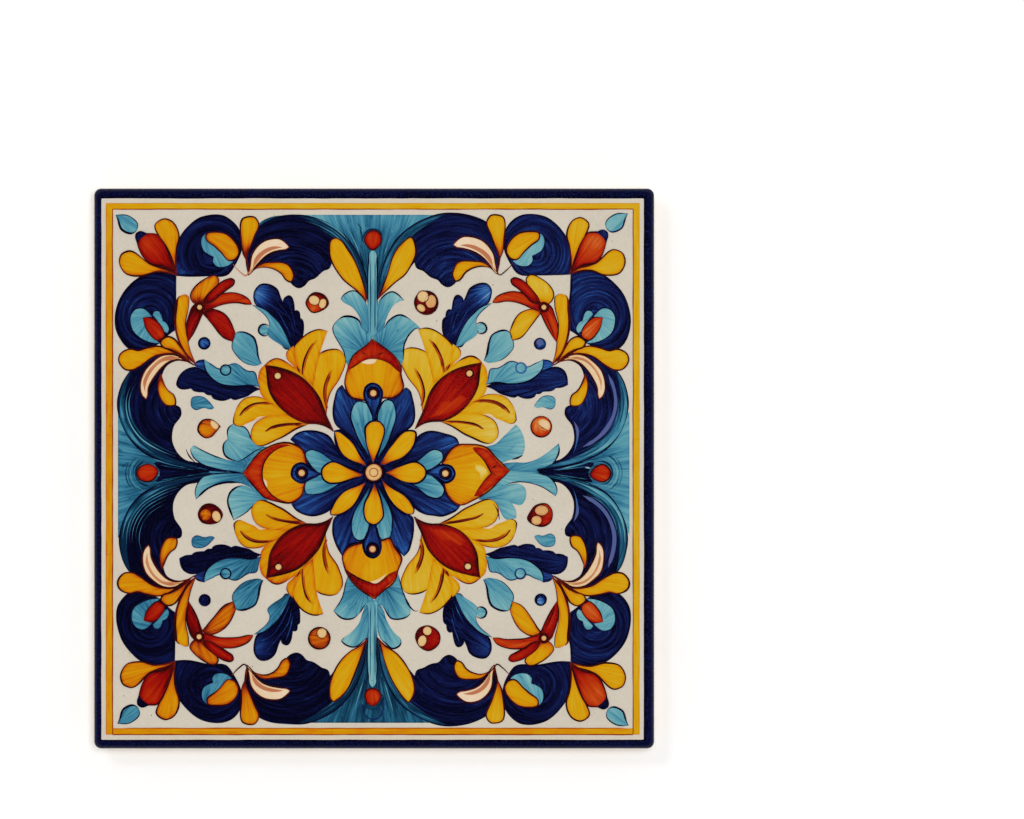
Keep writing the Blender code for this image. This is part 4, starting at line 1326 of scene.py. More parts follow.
# %% East stem
def paint_east():
    """The plumes and tulip right of the middle."""
    mark("turquoise", [(30.6, 6, TIP), (33.2, 6.8), (35, 8.5), (38.6, 12, TIP), (39.8, 10.6), (40.4, 3.8),
         (36, 2), (34.5, 1.4), (32.5, 3.6)], (0.6, 0.2), 1)
    pen("blue_line", [(37.6, 2.5), (39.0, 2.9), (40.4, 3.6)], 0.45, 2.4)
    mark("turquoise", [(36.9, -0.5, TIP), (34.5, 1), (38.4, 1.7), (40.8, 1.6), (50.2, 6.8, TIP), (50.4, 5.5),
         (48.6, 1.5), (45.9, 0.25), (42.7, -0.75, TIP)], (0.64, 0.2), 1.5, [(4, 6, 0.45)])
    mark("turquoise", [(42.7, -0.9, TIP), (45.7, -1.5), (48.1, -2.7), (49.8, -6.3), (49.4, -7.5, TIP),
         (45.9, -5.1), (37.9, -3.8), (35.9, -4.4), (33, -4.4), (36.9, -0.7, TIP)], (0.3, 0.3), 1.5,
         [(1, 4, 0.28), (4, 7, 0.25)], base=(35.0, -2.5))
    mark("turquoise", [(28.4, -8.4, TIP), (30.5, -6.4), (33, -4.6), (36.5, -4.4), (39.3, -4.1), (40.8, -4.9),
         (41, -8.8), (39.8, -10), (38.4, -9.7), (34, -8.4)], (0.6, 0.22), 1)
    mark("turquoise", [(28.4, -8.4, TIP), (33, -7.9), (37, -9), (38.6, -11.5), (38.7, -13.4, TIP),
         (35.9, -13.8), (34.7, -12.4), (34, -10.7)], (0.6, 0.22), 1.5)
    pen("blue_line", [(32.5, -9.7), (33.5, -11.2), (34.1, -13.9)], 0.4, 2)
    mark("yellow", [(36.9, -0.6, TIP), (32.8, 3.4), (31, 5.4), (25.2, 6.6), (23, 6.45), (20.1, 4.15),
         (19.2, 2.4), (18.6, 1.5), (19, -4.1), (19.7, -6.6), (23.7, -9.9), (26.9, -8.65), (32, -5.4),
         (33.7, -3.65)], (0.3, 0.6), 3, 0.45, flow=("fan", (8.0, -1.2)), base=(27.0, -1.2))
    mark("red", [(26.9, 5.7), (30.1, 1.95), (31.9, -1.35, TIP), (30.8, -2.4), (27.2, -7.5, TIP), (28.3, -7.6),
         (30, -6.5), (36.6, -0.6, TIP), (34.8, 0.8), (32.6, 3.2), (30.8, 5.1)], (0.4, 0.45), 4, [(0, 4, 0.3)],
         base=(28.0, 5.0), flow=("fan", (20.0, -1.2)))
    mark("yellow", [(27.2, 1.4), (29.4, 1.2), (31.3, -1.3), (30.4, -2.4), (29.4, -3.6), (28.4, -3),
         (28.6, -1.6), (27.4, -0.6)], (-0.15, 0.2), 3.3, base=(29.4, -0.4))
    pen("brown_line", [(31.9, 0.1), (32.8, 0.5), (33.5, 1.2)], 0.4, 4.3, load=0.7)
    pen("brown_line", [(31.9, -1.2), (32.7, -1.5), (33.3, -2.0)], 0.4, 4.3, load=0.7)
    wing([(2.6, 0.2, TIP), (6.5, 1.4), (10.2, 5.2), (12.4, 9), (14.2, 9.9), (18.9, 9.5), (22.8, 7.5),
         (23.1, 6.6, TIP), (20, 4.2), (18, 1.5), (14.4, -0.8), (8, -0.6)])
    wing([(2.6, -2.3, TIP), (5, -4.6), (10.3, -9.2), (11, -10.5), (14, -12.4), (16.4, -12.7), (18.4, -12.9),
         (20.6, -12.2), (22.5, -11.2), (23.4, -10.1, TIP), (21.3, -9), (19.85, -7.3), (18.6, -4), (8, -2)])
    inner_leaf([(8, 0, TIP), (11.5, 2), (17.2, 5.1), (18.5, 4.4), (18.8, 3), (16.2, 0.2), (12, -1)])
    inner_leaf([(8, -3, TIP), (11, -4.6), (15.2, -7.8), (17.2, -8.1), (18.6, -7.4), (19.1, -6), (16.8, -2.8),
               (15, -1.6), (12, -1.8)])
    tulip_drop([(14.8, -1.1, TIP), (17.65, 0.85), (21.3, 0.25), (22, -1.45), (21.3, -3.05), (19.35, -3.8),
               (17.65, -2.9)], (19.4, -1.35))


# %% Tall petals, fruits and the centre flower
def paint_tall_petals():
    """The yellow petals that stand between the stems and the scrolls."""
    petals = (
        ([(-2.2, 45.3, TIP), (-3.5, 47.2), (-9, 52.2), (-12.1, 59), (-11.3, 62.4), (-10.4, 62.7),
          (-9.1, 62.1), (-7.3, 59.8), (-2.6, 49), (-2.1, 46.5)], (0.42, 0.3)),
        ([(1.1, 46.2, TIP), (6, 50.9), (8.2, 52.6), (9.7, 54.7), (11.4, 59.2), (10.1, 62.9), (7, 60.6),
          (5.2, 57.8), (3.9, 53.6)], (0.36, 0.26)),
        ([(-1.9, -46.4, TIP), (-4.4, -48.6), (-6.2, -49.6), (-12, -61), (-11.8, -62.6), (-11, -63.4),
          (-10, -62.8), (-6.8, -59.4), (-5.6, -56.6)], (0.42, 0.32)),
        ([(1.3, -46.4, TIP), (2.6, -47.8), (6.6, -50.8), (10.3, -62.4), (9.4, -63.6), (8.2, -62.6),
          (6.4, -60.2)], (0.42, 0.32)),
    )
    for petal, load in petals:
        mark("yellow", petal, load, 3, 0.4, root=(6.5, 0.36))


def dot(pot, centre, radius, squash=1.0, lean=0.0, load=0.42, level=3.5):
    """A small round light on a berry."""
    mark(pot, disc(centre, radius, squash, lean), (load, load), level, 0.22, base=centre)


def paint_fruits():
    """Two berries beside each stem, each with its own shape and lights."""
    mark("red", [(-18.5, 45), (-16.4, 47.8), (-13.2, 46.8), (-12.4, 45.1), (-16.9, 42.6)], (0.0, 0.95), 3,
         0.38, base=(-17.3, 42.8))
    dot("peach", (-16.3, 45.8), 1.55, 0.85, 2.8)
    dot("peach", (-14.0, 44.9), 1.45, 0.72, 1.3)
    mark("red", disc((14.2, 45.1), 3.15, 1.0), (0.85, 0.8), 3, 0.42)
    dot("peach", (15.4, 45.4), 2.0, 0.8, 1.5, 0.62, 3.3)
    dot("peach", (13.3, 46.8), 1.6)
    dot("peach", (12.8, 43.7), 1.35, 0.75, 2.5, 0.5)
    mark("yellow", [(-41.8, 11.45, TIP), (-45, 13.4), (-46.6, 13.1), (-47.9, 10.5), (-45.8, 8.4),
         (-44.3, 8.7), (-43, 10.1)], (0.7, 0.62), 3, 0.42)
    mark("peach", [(-44.4, 13.0), (-42.9, 12.4), (-42.3, 11.5), (-43.0, 10.7), (-44.0, 11.3), (-44.5, 12.2)],
         (0.3, 0.3), 3.5)
    mark("red", [(-47.8, -12.6), (-46, -9.9), (-44.4, -9.7), (-41.3, -12.8), (-42.1, -14.2), (-47.2, -14.1)],
         (0.8, 0.8), 3, 0.42)
    dot("yellow", (-45.8, -12.6), 1.6, load=0.6)
    dot("peach", (-42.9, -13.0), 1.6, 0.75, 1.9)
    mark("red", disc((45.5, 11.4), 2.8), (-0.1, 0.3), 3, 0.35, base=(44.6, 12.6))
    pen("brown_line", [(44.3, 12.4), (45.6, 11.2), (47.6, 10.3)], 0.4, 4.0, load=0.35)
    mark("peach", [(45.0, 13.3), (46.6, 13.3), (47.9, 12.0), (47.7, 10.6), (46.3, 10.4), (44.6, 11.9)],
         (0.2, 0.5), 3.5, base=(46.8, 12.4))
    mark("red", [(41.8, -13.4), (42.6, -11.8), (43.8, -10.3), (47.2, -9.8), (48.3, -11.2), (47.7, -14.8),
         (46.2, -15.6)], (1.0, 0.25), 3, 0.42, base=(42.8, -13.4))
    dot("peach", (45.6, -11.4), 1.95, 0.75, load=0.6)
    dot("peach", (44.2, -14.1), 1.5, 0.9, load=0.55)
    mark("yellow", disc((-14.9, -46.2), 2.9), (0.78, 0.72), 3, 0.42)
    dot("peach", (-14.2, -44.8), 1.4)
    mark("red", [(11.4, -45.2), (12.3, -43.6), (14.5, -42.8), (17.8, -45.2), (17.7, -47.4), (14.6, -49.5),
         (12.9, -48.8)], (0.95, 0.5), 3, 0.42, base=(13.0, -45.4))
    dot("peach", (14.5, -44.2), 1.25)
    dot("peach", (13.1, -46.9), 1.6, 0.75, 1.3)


def paint_centre():
    """Eight yellow petals about the centre disc."""
    petals = (
        [(-0.3, 1.3, TIP), (-2.3, 8.5), (-2.2, 11.5), (-1.2, 12.6), (1.5, 12.7), (2.4, 11.8), (1.7, 6)],
        [(3, -1.1, TIP), (6.5, 0.5), (12, 1.6), (14.1, -0.6), (14, -2), (11.8, -3.95), (10, -4)],
        [(0.1, -3.8, TIP), (-1.6, -7.5), (-2.5, -9.3), (-1.5, -14.8), (-0.1, -15.3), (2.3, -13.5),
         (2.1, -9.5)],
        [(-2.9, -1.6, TIP), (-6.5, 0), (-12, 1.7), (-14.2, -0.3), (-13.7, -3), (-12.4, -3.9), (-10.5, -4),
         (-5.5, -2.7), (-3.5, -2.1)],
        [(1.6, 1.2, TIP), (4.6, 6.2), (9.2, 10.3), (11.2, 10), (11.3, 7.9), (8.3, 3.3), (4.5, 1.6),
         (2.6, 0.9)],
        [(-2.1, 0.6, TIP), (-8.7, 3.9), (-10.8, 10.1, TIP), (-9.2, 9.9), (-7.8, 8.9), (-6, 7.3), (-3.3, 2.8),
         (-2.2, 1.2)],
        [(2, -2.8, TIP), (5.5, -5.6), (7.5, -6.7), (10.3, -9.8), (10.9, -11.3), (10.6, -12.3, TIP),
         (9, -12.4), (7.3, -11.6), (3, -6.2)],
        [(-2, -3.6, TIP), (-4, -4.4), (-8.5, -6.5), (-11.3, -10.3), (-11.9, -12), (-11.7, -12.6, TIP),
         (-10, -12.6), (-6, -10.5), (-3.2, -6)],
    )
    for petal in petals:
        mark("yellow", petal, (0.34, 0.36), 4, 0.5, root=(6.0, 0.42), line="blue_line")
    mark("cobalt", disc((-0.1, -1.05), 9.8), (0.85, 0.7), 0.7, base=(-0.1, -1.05))
    mark("cobalt", [(-10.8, 10.4, TIP), (-8.2, 10.7), (-4.8, 7.6), (-2, 2, TIP), (-9.7, 4.6), (-10.9, 8)],
         (0.85, 0.8), 0.7)
    mark("cobalt", [(-8.2, -19.0, TIP), (-6.4, -21.8), (-2.4, -20.8), (-1.4, -18.0, TIP)], (0.8, 0.8), 0.4)
    mark("turquoise", [(-37.0, 0.4, TIP), (-33.6, 4.6), (-30.2, 6.4, TIP), (-30.6, 4.4), (-34.4, 0.0)],
         (0.6, 0.5), 0.4)
    mark("cobalt", [(-20.6, 2.4, TIP), (-18.2, 2.6), (-15.8, 1.4, TIP), (-18.0, -0.4)], (0.8, 0.8), 0.4)
    for spot in ((-0.1, 13.2), (-0.2, -15.3), (-14.8, -1.3), (14.6, -0.9)):
        mark("cobalt", disc(spot, 1.3), (0.9, 0.9), 0.9)
    mark("cobalt", disc((-0.1, -1.05), 3.2), (0.95, 0.95), 3.8)
    mark("peach", disc((-0.1, -1.05), 2.35), (0.45, 0.6), 5, 0.3, base=(-0.1, -1.0))
    pen("brown_line", disc((-0.1, -1.05), 1.15), 0.35, 5.3, closed=True, load=0.2)


paint_fields()
paint_knobs()
paint_north()
paint_south()
paint_west()
paint_east()
paint_tall_petals()
paint_fruits()
paint_centre()
for name, pot in POTS.items():
    print(f"{name}: {pot.count:,} points, {len(pot.faces):,} faces")

# %% [markdown]
# ## Pigments, glaze and clay
#
# A fired pigment is metal oxide melted into glass. Thin, the white glaze lights it from below;
# thick, it goes dark and dull. So each pigment is one ramp from thin wash to full brush, read at
# `load` plus the streaks of the bristles, slow puddles and the pool at the edge of each mark.

# %% Fired pigment
BRISTLE = 0.7  # millimetres between the soft streaks of a brush
HAIR = 0.5  # millimetres between the thin lines that single hairs leave
HAIR_LINE = 0.03  # how narrow those lines are, as a share of the noise that places them
PUDDLE = 7.0  # millimetres between the places where the pigment settled
GRAIN = 0.35  # millimetres between its coarse grains
BRISTLE_DEPTH = 0.03  # millimetres of relief that the bristles leave
RELIEF = 0.2  # how strongly the light shows it, on paint and glaze
NOISE = {"From_Min": 0.28, "From_Max": 0.72}  # nearly all values of a noise lie between these


def fired_pigment(name, stops, streak, hair, puddle, grain, pool):
    """Oxide melted into the glaze. Each share is how far that pattern moves the load.

    hair is above 0 where single hairs leave darker lines, and below 0 where they scrape light
    ones. pool is how much pigment gathers at a mark's edge, and how far in it reaches.
    """
    material = bpy.data.materials.new(name)
    material.use_nodes = True
    tree = material.node_tree
    shader = tree.nodes["Principled BSDF"]
    load = add(tree, "ShaderNodeAttribute", {"attribute_name": "load"})
    stroke = add(tree, "ShaderNodeAttribute", {"attribute_name": "stroke"})
    edge = add(tree, "ShaderNodeAttribute", {"attribute_name": "edge"})
    where = add(tree, "ShaderNodeTexCoord")
    bristles = add(tree, "ShaderNodeTexNoise", Vector=stroke.outputs["Vector"], Scale=1 / BRISTLE, Detail=2.0,
                   Roughness=0.6)
    spot = where.outputs["Object"]
    puddles = add(tree, "ShaderNodeTexNoise", Vector=spot, Scale=1 / (PUDDLE * MM), Detail=2.0)
    grains = add(tree, "ShaderNodeTexNoise", Vector=spot, Scale=1 / (GRAIN * MM), Detail=1.0)
    hairs = add(tree, "ShaderNodeTexNoise", Vector=stroke.outputs["Vector"], Scale=1 / HAIR, Detail=0.0)
    offset = add(tree, "ShaderNodeMath", {"operation": "SUBTRACT"}, in0=hairs.outputs["Fac"], in1=0.5)
    size = add(tree, "ShaderNodeMath", {"operation": "ABSOLUTE"}, in0=offset.outputs[0])
    smooth = {"interpolation_type": "SMOOTHSTEP"}
    lines = add(tree, "ShaderNodeMapRange", smooth, in0=size.outputs[0], From_Min=0.0, From_Max=HAIR_LINE,
                To_Min=hair, To_Max=0.0)
    pooled = add(tree, "ShaderNodeMapRange", smooth, in0=edge.outputs["Fac"], From_Min=0.0, From_Max=pool[1],
                 To_Min=pool[0], To_Max=0.0)
    parts = [lines.outputs["Result"], pooled.outputs["Result"]]
    for source, share in ((bristles, streak), (puddles, puddle), (grains, grain)):
        spread = add(tree, "ShaderNodeMapRange", in0=source.outputs["Fac"], To_Min=-share, To_Max=share,
                     **NOISE)
        parts.append(spread.outputs["Result"])
    total = load.outputs["Fac"]
    for part in parts:
        total = add(tree, "ShaderNodeMath", {"operation": "ADD"}, in0=total, in1=part).outputs[0]
    ramp = add(tree, "ShaderNodeValToRGB", in0=total)
    fill_ramp(ramp, [(at, to_linear(code)) for at, code in stops])
    tree.links.new(ramp.outputs["Color"], shader.inputs["Base Color"])
    bump = add(tree, "ShaderNodeBump", Strength=RELIEF, Distance=BRISTLE_DEPTH * MM,
               Height=bristles.outputs["Fac"])
    tree.links.new(bump.outputs["Normal"], shader.inputs["Normal"])
    shader.inputs["Roughness"].default_value = GLOSS
    shader.inputs["Specular IOR Level"].default_value = SHEEN
    return material


# Each pigment has its material's name, its slot, the shares that fired_pigment takes, and the
# ramp from thin wash to full brush.
PIGMENTS = {
    "cobalt": ("brushed_fired_cobalt", "cobalt_paint", (0.22, -0.16, 0.04, 0.03, (0.16, 0.8)),
               ((0, "#86a6c4"), (0.15, "#4c79a8"), (0.35, "#23559a"), (0.55, "#132a66"), (0.72, "#0a1446"),
                (0.86, "#060930"), (1, "#03031a"))),
    "turquoise": ("brushed_fired_copper", "turquoise_paint", (0.17, 0.15, 0.06, 0.02, (0.08, 0.6)),
                  ((0, "#a4c6c4"), (0.2, "#7fb2b6"), (0.4, "#5e9eab"), (0.55, "#4588a0"), (0.7, "#286888"),
                   (0.85, "#0f425c"), (1, "#05233f"))),
    "yellow": ("brushed_fired_antimony", "yellow_paint", (0.11, 0.1, 0.05, 0.02, (0.2, 1.1)),
               ((0, "#dfc56c"), (0.2, "#d7b030"), (0.4, "#d5a00a"), (0.55, "#d48d04"), (0.68, "#cd7404"),
                (0.82, "#b94a06"), (1, "#721505"))),
    "red": ("brushed_fired_iron_red", "red_paint", (0.13, 0.1, 0.05, 0.02, (0.22, 1.2)),
            ((0, "#d67a38"), (0.25, "#c2440c"), (0.45, "#b32a04"), (0.6, "#a31503"), (0.72, "#900402"),
             (0.84, "#760102"), (1, "#400103"))),
    "peach": ("thin_washed_iron", "yellow_paint", (0.08, 0.0, 0.05, 0.02, (0.22, 0.7)),
              ((0, "#ecd4b8"), (0.25, "#e5c69e"), (0.5, "#dfb97a"), (0.75, "#cf8f58"), (1, "#bd7450"))),
    "blue_line": ("drawn_fired_cobalt_black", "line_paint", (0.08, 0.0, 0.0, 0.04, (0.0, 0.5)),
                  ((0, "#5c5c8c"), (0.25, "#2c5c98"), (0.5, "#152a66"), (0.75, "#07082e"), (1, "#04031c"))),
    "brown_line": ("drawn_fired_umber", "line_paint", (0.08, 0.0, 0.0, 0.04, (0.0, 0.5)),
                   ((0, "#c07a2c"), (0.25, "#ad5210"), (0.5, "#86240a"), (0.75, "#520a09"), (1, "#2c0507"))),
}
for name, (title, colour_slot, shares, stops) in PIGMENTS.items():
    piece = bpy.data.objects.new(name, POTS[name].mesh(name))
    piece.data.materials.append(fired_pigment(title, stops, *shares))
    bpy.context.scene.collection.objects.link(piece)
    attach(piece, "root")
print("pigments: " + ", ".join(PIGMENTS))

# %% [markdown]
# ## White glaze
#
# The tin glaze covers the face, the rolled edge and the lip. It stops in a wavy bead under the
# lip, where the potter wiped the tile so that it would not stick in the kiln.

# %% Glaze skin
GLAZE_STEP = 1.6  # millimetres between its grid points
GLAZE_MARGIN = 0.8  # from the rolled edge to the first grid point
GLAZE_FLOOR = 0.7  # how deep under the face the closed skin ends
HEM_HEIGHT = 0.35  # how far the hem stays above the foot of the lip
HEM_WAVE = 0.5  # how far it waves up and down
GLAZE_ANGLE = 50  # degrees, over which its shading breaks
MOTTLE = 12.0  # millimetres between its cloudy patches
GLAZE_GRAIN = 0.7  # millimetres between its fine grains
GLAZE_RELIEF = 0.04  # millimetres that they stand out
TIN_WHITE = ((0.3, "#cec3b4"), (0.45, "#d3c9b9"), (0.55, "#d6ccbc"), (0.7, "#d9d0c0"))


def make_glaze():
    """The skin over the face and its edge."""
    top = square_loop(FACE_ROUND, FACE_CORNER)
    reach = HALF - FACE_ROUND - GLAZE_MARGIN
    grid = np.arange(-reach, reach + 0.01, 2 * reach / round(2 * reach / GLAZE_STEP))
    inner = np.array([(x, y) for x in grid for y in grid])
    flat, faces = filled(top, inner)
    points = [np.column_stack([flat, glaze_heights(flat)])]
    index = [int(np.hypot(*(flat - p).T).argmin()) for p in top]
    count = len(top)
    rings = []
    for k in range(1, ROLL_STEPS + 1):
        angle = math.radians(90 / ROLL_STEPS * k)
        loop = square_loop(FACE_ROUND * (1 - math.sin(angle)), CORNER_RADIUS)
        rings.append(np.column_stack([loop, np.full(count, THICK - FACE_ROUND * (1 - math.cos(angle)))]))
    side = square_loop(0, CORNER_RADIUS)
    wave = np.array([noise.noise(Vector((x / 6, y / 6, 3.0))) for x, y in side])
    hem = THICK - LIP_HEIGHT + HEM_HEIGHT + HEM_WAVE * wave
    bead = ((0, hem + 0.5), (0.03, hem + 0.12), (0.14, hem), (0.45, hem + 0.05))
    for inset, height in (*bead, (0.45, np.full(count, THICK - GLAZE_FLOOR))):
        rings.append(np.column_stack([square_loop(inset, CORNER_RADIUS), height]))
    base = len(flat)
    for r, ring in enumerate(rings):
        points.append(ring)
        for i in range(count):
            j = (i + 1) % count
            upper = base + (r - 1) * count
            above = (index[i], index[j]) if r == 0 else (upper + i, upper + j)
            faces.append([above[0], base + r * count + i, base + r * count + j, above[1]])
    last = base + (len(rings) - 1) * count
    faces.append([last + i for i in range(count - 1, -1, -1)])
    mesh = bpy.data.meshes.new("white_glaze")
    mesh.from_pydata((np.vstack(points) * MM).tolist(), [], faces)
    mesh.shade_smooth()
    mesh.set_sharp_from_angle(angle=math.radians(GLAZE_ANGLE))
    return bpy.data.objects.new("white_glaze", mesh)


def tin_glaze():
    """Opaque white glaze: faintly mottled, with a fine grain."""
    material = bpy.data.materials.new("opaque_tin_glaze")
    material.use_nodes = True
    tree = material.node_tree
    shader = tree.nodes["Principled BSDF"]
    spot = add(tree, "ShaderNodeTexCoord").outputs["Object"]
    cloud = add(tree, "ShaderNodeTexNoise", Vector=spot, Scale=1 / (MOTTLE * MM), Detail=3.0)
    grain = add(tree, "ShaderNodeTexNoise", Vector=spot, Scale=1 / (GLAZE_GRAIN * MM), Detail=2.0)
    both = add(tree, "ShaderNodeMath", {"operation": "MULTIPLY"}, in0=cloud.outputs["Fac"], in1=0.5)
    both = add(tree, "ShaderNodeMath", {"operation": "MULTIPLY_ADD"}, in0=grain.outputs["Fac"], in1=0.5,
               in2=both.outputs[0])
    ramp = add(tree, "ShaderNodeValToRGB", in0=both.outputs[0])
    fill_ramp(ramp, [(at, to_linear(code)) for at, code in TIN_WHITE])
    tree.links.new(ramp.outputs["Color"], shader.inputs["Base Color"])
    bump = add(tree, "ShaderNodeBump", Strength=RELIEF, Distance=GLAZE_RELIEF * MM,
               Height=grain.outputs["Fac"])
    tree.links.new(bump.outputs["Normal"], shader.inputs["Normal"])
    shader.inputs["Roughness"].default_value = GLOSS
    shader.inputs["Specular IOR Level"].default_value = SHEEN
    return material


glaze = make_glaze()
glaze.data.materials.append(tin_glaze())
bpy.context.scene.collection.objects.link(glaze)
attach(glaze, "root")
print(f"glaze skin: {len(glaze.data.polygons):,} faces")

# %% [markdown]
# ## Specks in the glaze
#
# Grains of iron in the clay and grit in the kiln leave brown specks in a white glaze. They lie
# anywhere on the face, so Geometry Nodes scatters them: it picks points on the glaze where it
# faces up, puts a flattened ball on each, and makes them one mesh. Paint covers those under it.

# %% Specks
SPECKS = {  # the tree's inputs, in metres
    "Per Square Metre": 3600.0, "Nearest": 0.004, "Smallest": 0.00006, "Largest": 0.00017, "Seed": 5
}
SPECK_SQUASH = 0.12  # a speck's height as a share of its width
SPECK_BROWN = "#7a5a44"
SPECK_ROUGHNESS = 0.5
UPWARD = 0.95  # the least upward part of a face's normal that a speck may lie on


def speck_tree(material):
    """Points on the upward faces, a flattened ball on each, realised with its material."""
    tree = bpy.data.node_groups.new("scatter_specks", "GeometryNodeTree")
    tree.is_modifier = True
    tree.interface.new_socket("Geometry", in_out="INPUT", socket_type="NodeSocketGeometry")
    for name, value in SPECKS.items():
        kind = "NodeSocketInt" if name == "Seed" else "NodeSocketFloat"
        tree.interface.new_socket(name, in_out="INPUT", socket_type=kind)
    tree.interface.new_socket("Geometry", in_out="OUTPUT", socket_type="NodeSocketGeometry")
    given = add(tree, "NodeGroupInput").outputs
    normal = add(tree, "GeometryNodeInputNormal")
    parts = add(tree, "ShaderNodeSeparateXYZ", in0=normal.outputs["Normal"])
    upward = add(tree, "ShaderNodeMath", {"operation": "GREATER_THAN"}, in0=parts.outputs["Z"], in1=UPWARD)
    points = add(tree, "GeometryNodeDistributePointsOnFaces", {"distribute_method": "POISSON"},
                 Mesh=given["Geometry"], Selection=upward.outputs[0], Distance_Min=given["Nearest"],
                 Density_Max=given["Per Square Metre"], Seed=given["Seed"])
    ball = add(tree, "GeometryNodeMeshIcoSphere", Radius=1.0, Subdivisions=2)
    flat = add(tree, "GeometryNodeTransform", Geometry=ball.outputs["Mesh"], Scale=(1.0, 1.0, SPECK_SQUASH))
    size = add(tree, "FunctionNodeRandomValue", {"data_type": "FLOAT"}, in2=given["Smallest"],
               in3=given["Largest"], Seed=given["Seed"])
    balls = add(tree, "GeometryNodeInstanceOnPoints", Points=points.outputs["Points"],
                Instance=flat.outputs["Geometry"], Rotation=points.outputs["Rotation"],
                Scale=size.outputs[1])
    solid = add(tree, "GeometryNodeRealizeInstances", Geometry=balls.outputs["Instances"])
    painted = add(tree, "GeometryNodeSetMaterial", Geometry=solid.outputs["Geometry"], Material=material)
    add(tree, "NodeGroupOutput", Geometry=painted.outputs["Geometry"])
    return tree


def scatter_specks(host):
    """Run the tree on a copy of the glaze, and keep what it made as a plain mesh."""
    material = bpy.data.materials.new("iron_speck_burnt_in_glaze")
    material.use_nodes = True
    shader = material.node_tree.nodes["Principled BSDF"]
    shader.inputs["Base Color"].default_value = to_linear(SPECK_BROWN)
    shader.inputs["Roughness"].default_value = SPECK_ROUGHNESS
    tree = speck_tree(material)
    copy = host.copy()
    bpy.context.scene.collection.objects.link(copy)
    modifier = copy.modifiers.new("specks", "NODES")
    modifier.node_group = tree
    for socket in tree.interface.items_tree:
        if socket.in_out == "INPUT" and socket.name in SPECKS:
            modifier[socket.identifier] = SPECKS[socket.name]
    bpy.context.view_layer.update()
    ready = copy.evaluated_get(bpy.context.evaluated_depsgraph_get())
    mesh = bpy.data.meshes.new_from_object(ready)
    bpy.data.objects.remove(copy)
    mesh.materials.clear()
    mesh.materials.append(material)
    mesh.polygons.foreach_set("material_index", [0] * len(mesh.polygons))
    return bpy.data.objects.new("glaze_specks", mesh)


specks = scatter_specks(glaze)
bpy.context.scene.collection.objects.link(specks)
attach(specks, "root")
print(f"specks: {len(specks.data.polygons):,} faces")

# %% [markdown]
# ## Bisque body
#
# The back is pressed against a plate of scooped bumps, so that mortar can grip the dents. The
# clay body is a smooth solid under the glaze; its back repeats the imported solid's dents on a
# finer grid. The ridges between dents rub on the kiln shelf and go pale.

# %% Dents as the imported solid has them
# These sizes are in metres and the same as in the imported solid's own script.
BACK_SIDE = 0.1504
BACK_CHAMFER = 0.0005
RIM_WIDTH = 0.0056  # the flat rim round the dents
DENT_DEPTH = 0.00055  # of the deepest dents
DENT_SEED = 7
# Half length, half width and tries
DENT_SIZES = ((0.0062, 0.0044, 90), (0.0048, 0.0030, 260), (0.0034, 0.0022, 520), (0.0021, 0.0015, 700))
DENT_OVERLAP = 0.80  # how near two dents may come, as a share of their mean size
DENT_FAN_CENTRE = (0.033, 0.026)  # the long dents fan out from about here
DENT_FAN_SCATTER = 0.9  # radians
BACK_CELLS = 232  # grid cells along each side of the back
UNWORN = 0.2  # the dent value of the sides, which nothing rubs
BODY_ANGLE = 35  # degrees, over which its shading breaks


def lay_out_dents():
    """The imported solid's own dents, from the same seed."""
    rng = random.Random(DENT_SEED)
    dents = []
    for half_length, half_width, tries in DENT_SIZES:
        for _ in range(tries):
            long = half_length * rng.uniform(0.75, 1.15)
            wide = half_width * rng.uniform(0.8, 1.15)
            reach = BACK_SIDE / 2 - RIM_WIDTH - 0.85 * wide
            x = rng.uniform(-reach, reach)
            y = rng.uniform(-reach, reach)
            fan = math.atan2(y - DENT_FAN_CENTRE[1], x - DENT_FAN_CENTRE[0])
            angle = fan + rng.uniform(-DENT_FAN_SCATTER, DENT_FAN_SCATTER)
            depth = DENT_DEPTH * rng.uniform(0.6, 1.0)
            mean = (long + wide) / 2
            clear = all(
                math.hypot(x - d[0], y - d[1]) > DENT_OVERLAP * (mean + (d[2] + d[3]) / 2)
                for d in dents
            )
            if clear:
                dents.append((x, y, long, wide, angle, depth))
    return dents


def dent_depths(x, y, dents):
    """How deep the back is dented at each point of a grid."""
    depth = np.zeros_like(x)
    for cx, cy, long, wide, angle, deep in dents:
        along = (x - cx) * math.cos(angle) + (y - cy) * math.sin(angle)
        across = (y - cy) * math.cos(angle) - (x - cx) * math.sin(angle)
        radius_squared = (along / long) ** 2 + (across / wide) ** 2
        depth = np.maximum(depth, deep * np.clip(1 - radius_squared**2, 0, None))
    return depth


def rounded_square(loop, half):
    """Bring a square loop that reaches 1 to a half side, and round its corners."""
    scaled = loop * half
    straight = half - CORNER_RADIUS
    over = np.clip(np.abs(scaled) - straight, 0, None)
    length = np.hypot(over[:, 0], over[:, 1])
    both = (over[:, 0] > 0) & (over[:, 1] > 0) & (length > CORNER_RADIUS)
    shrink = np.where(both, CORNER_RADIUS / np.maximum(length, 1e-9), 1)[:, None]
    return np.sign(scaled) * (np.minimum(np.abs(scaled), straight) + over * shrink)


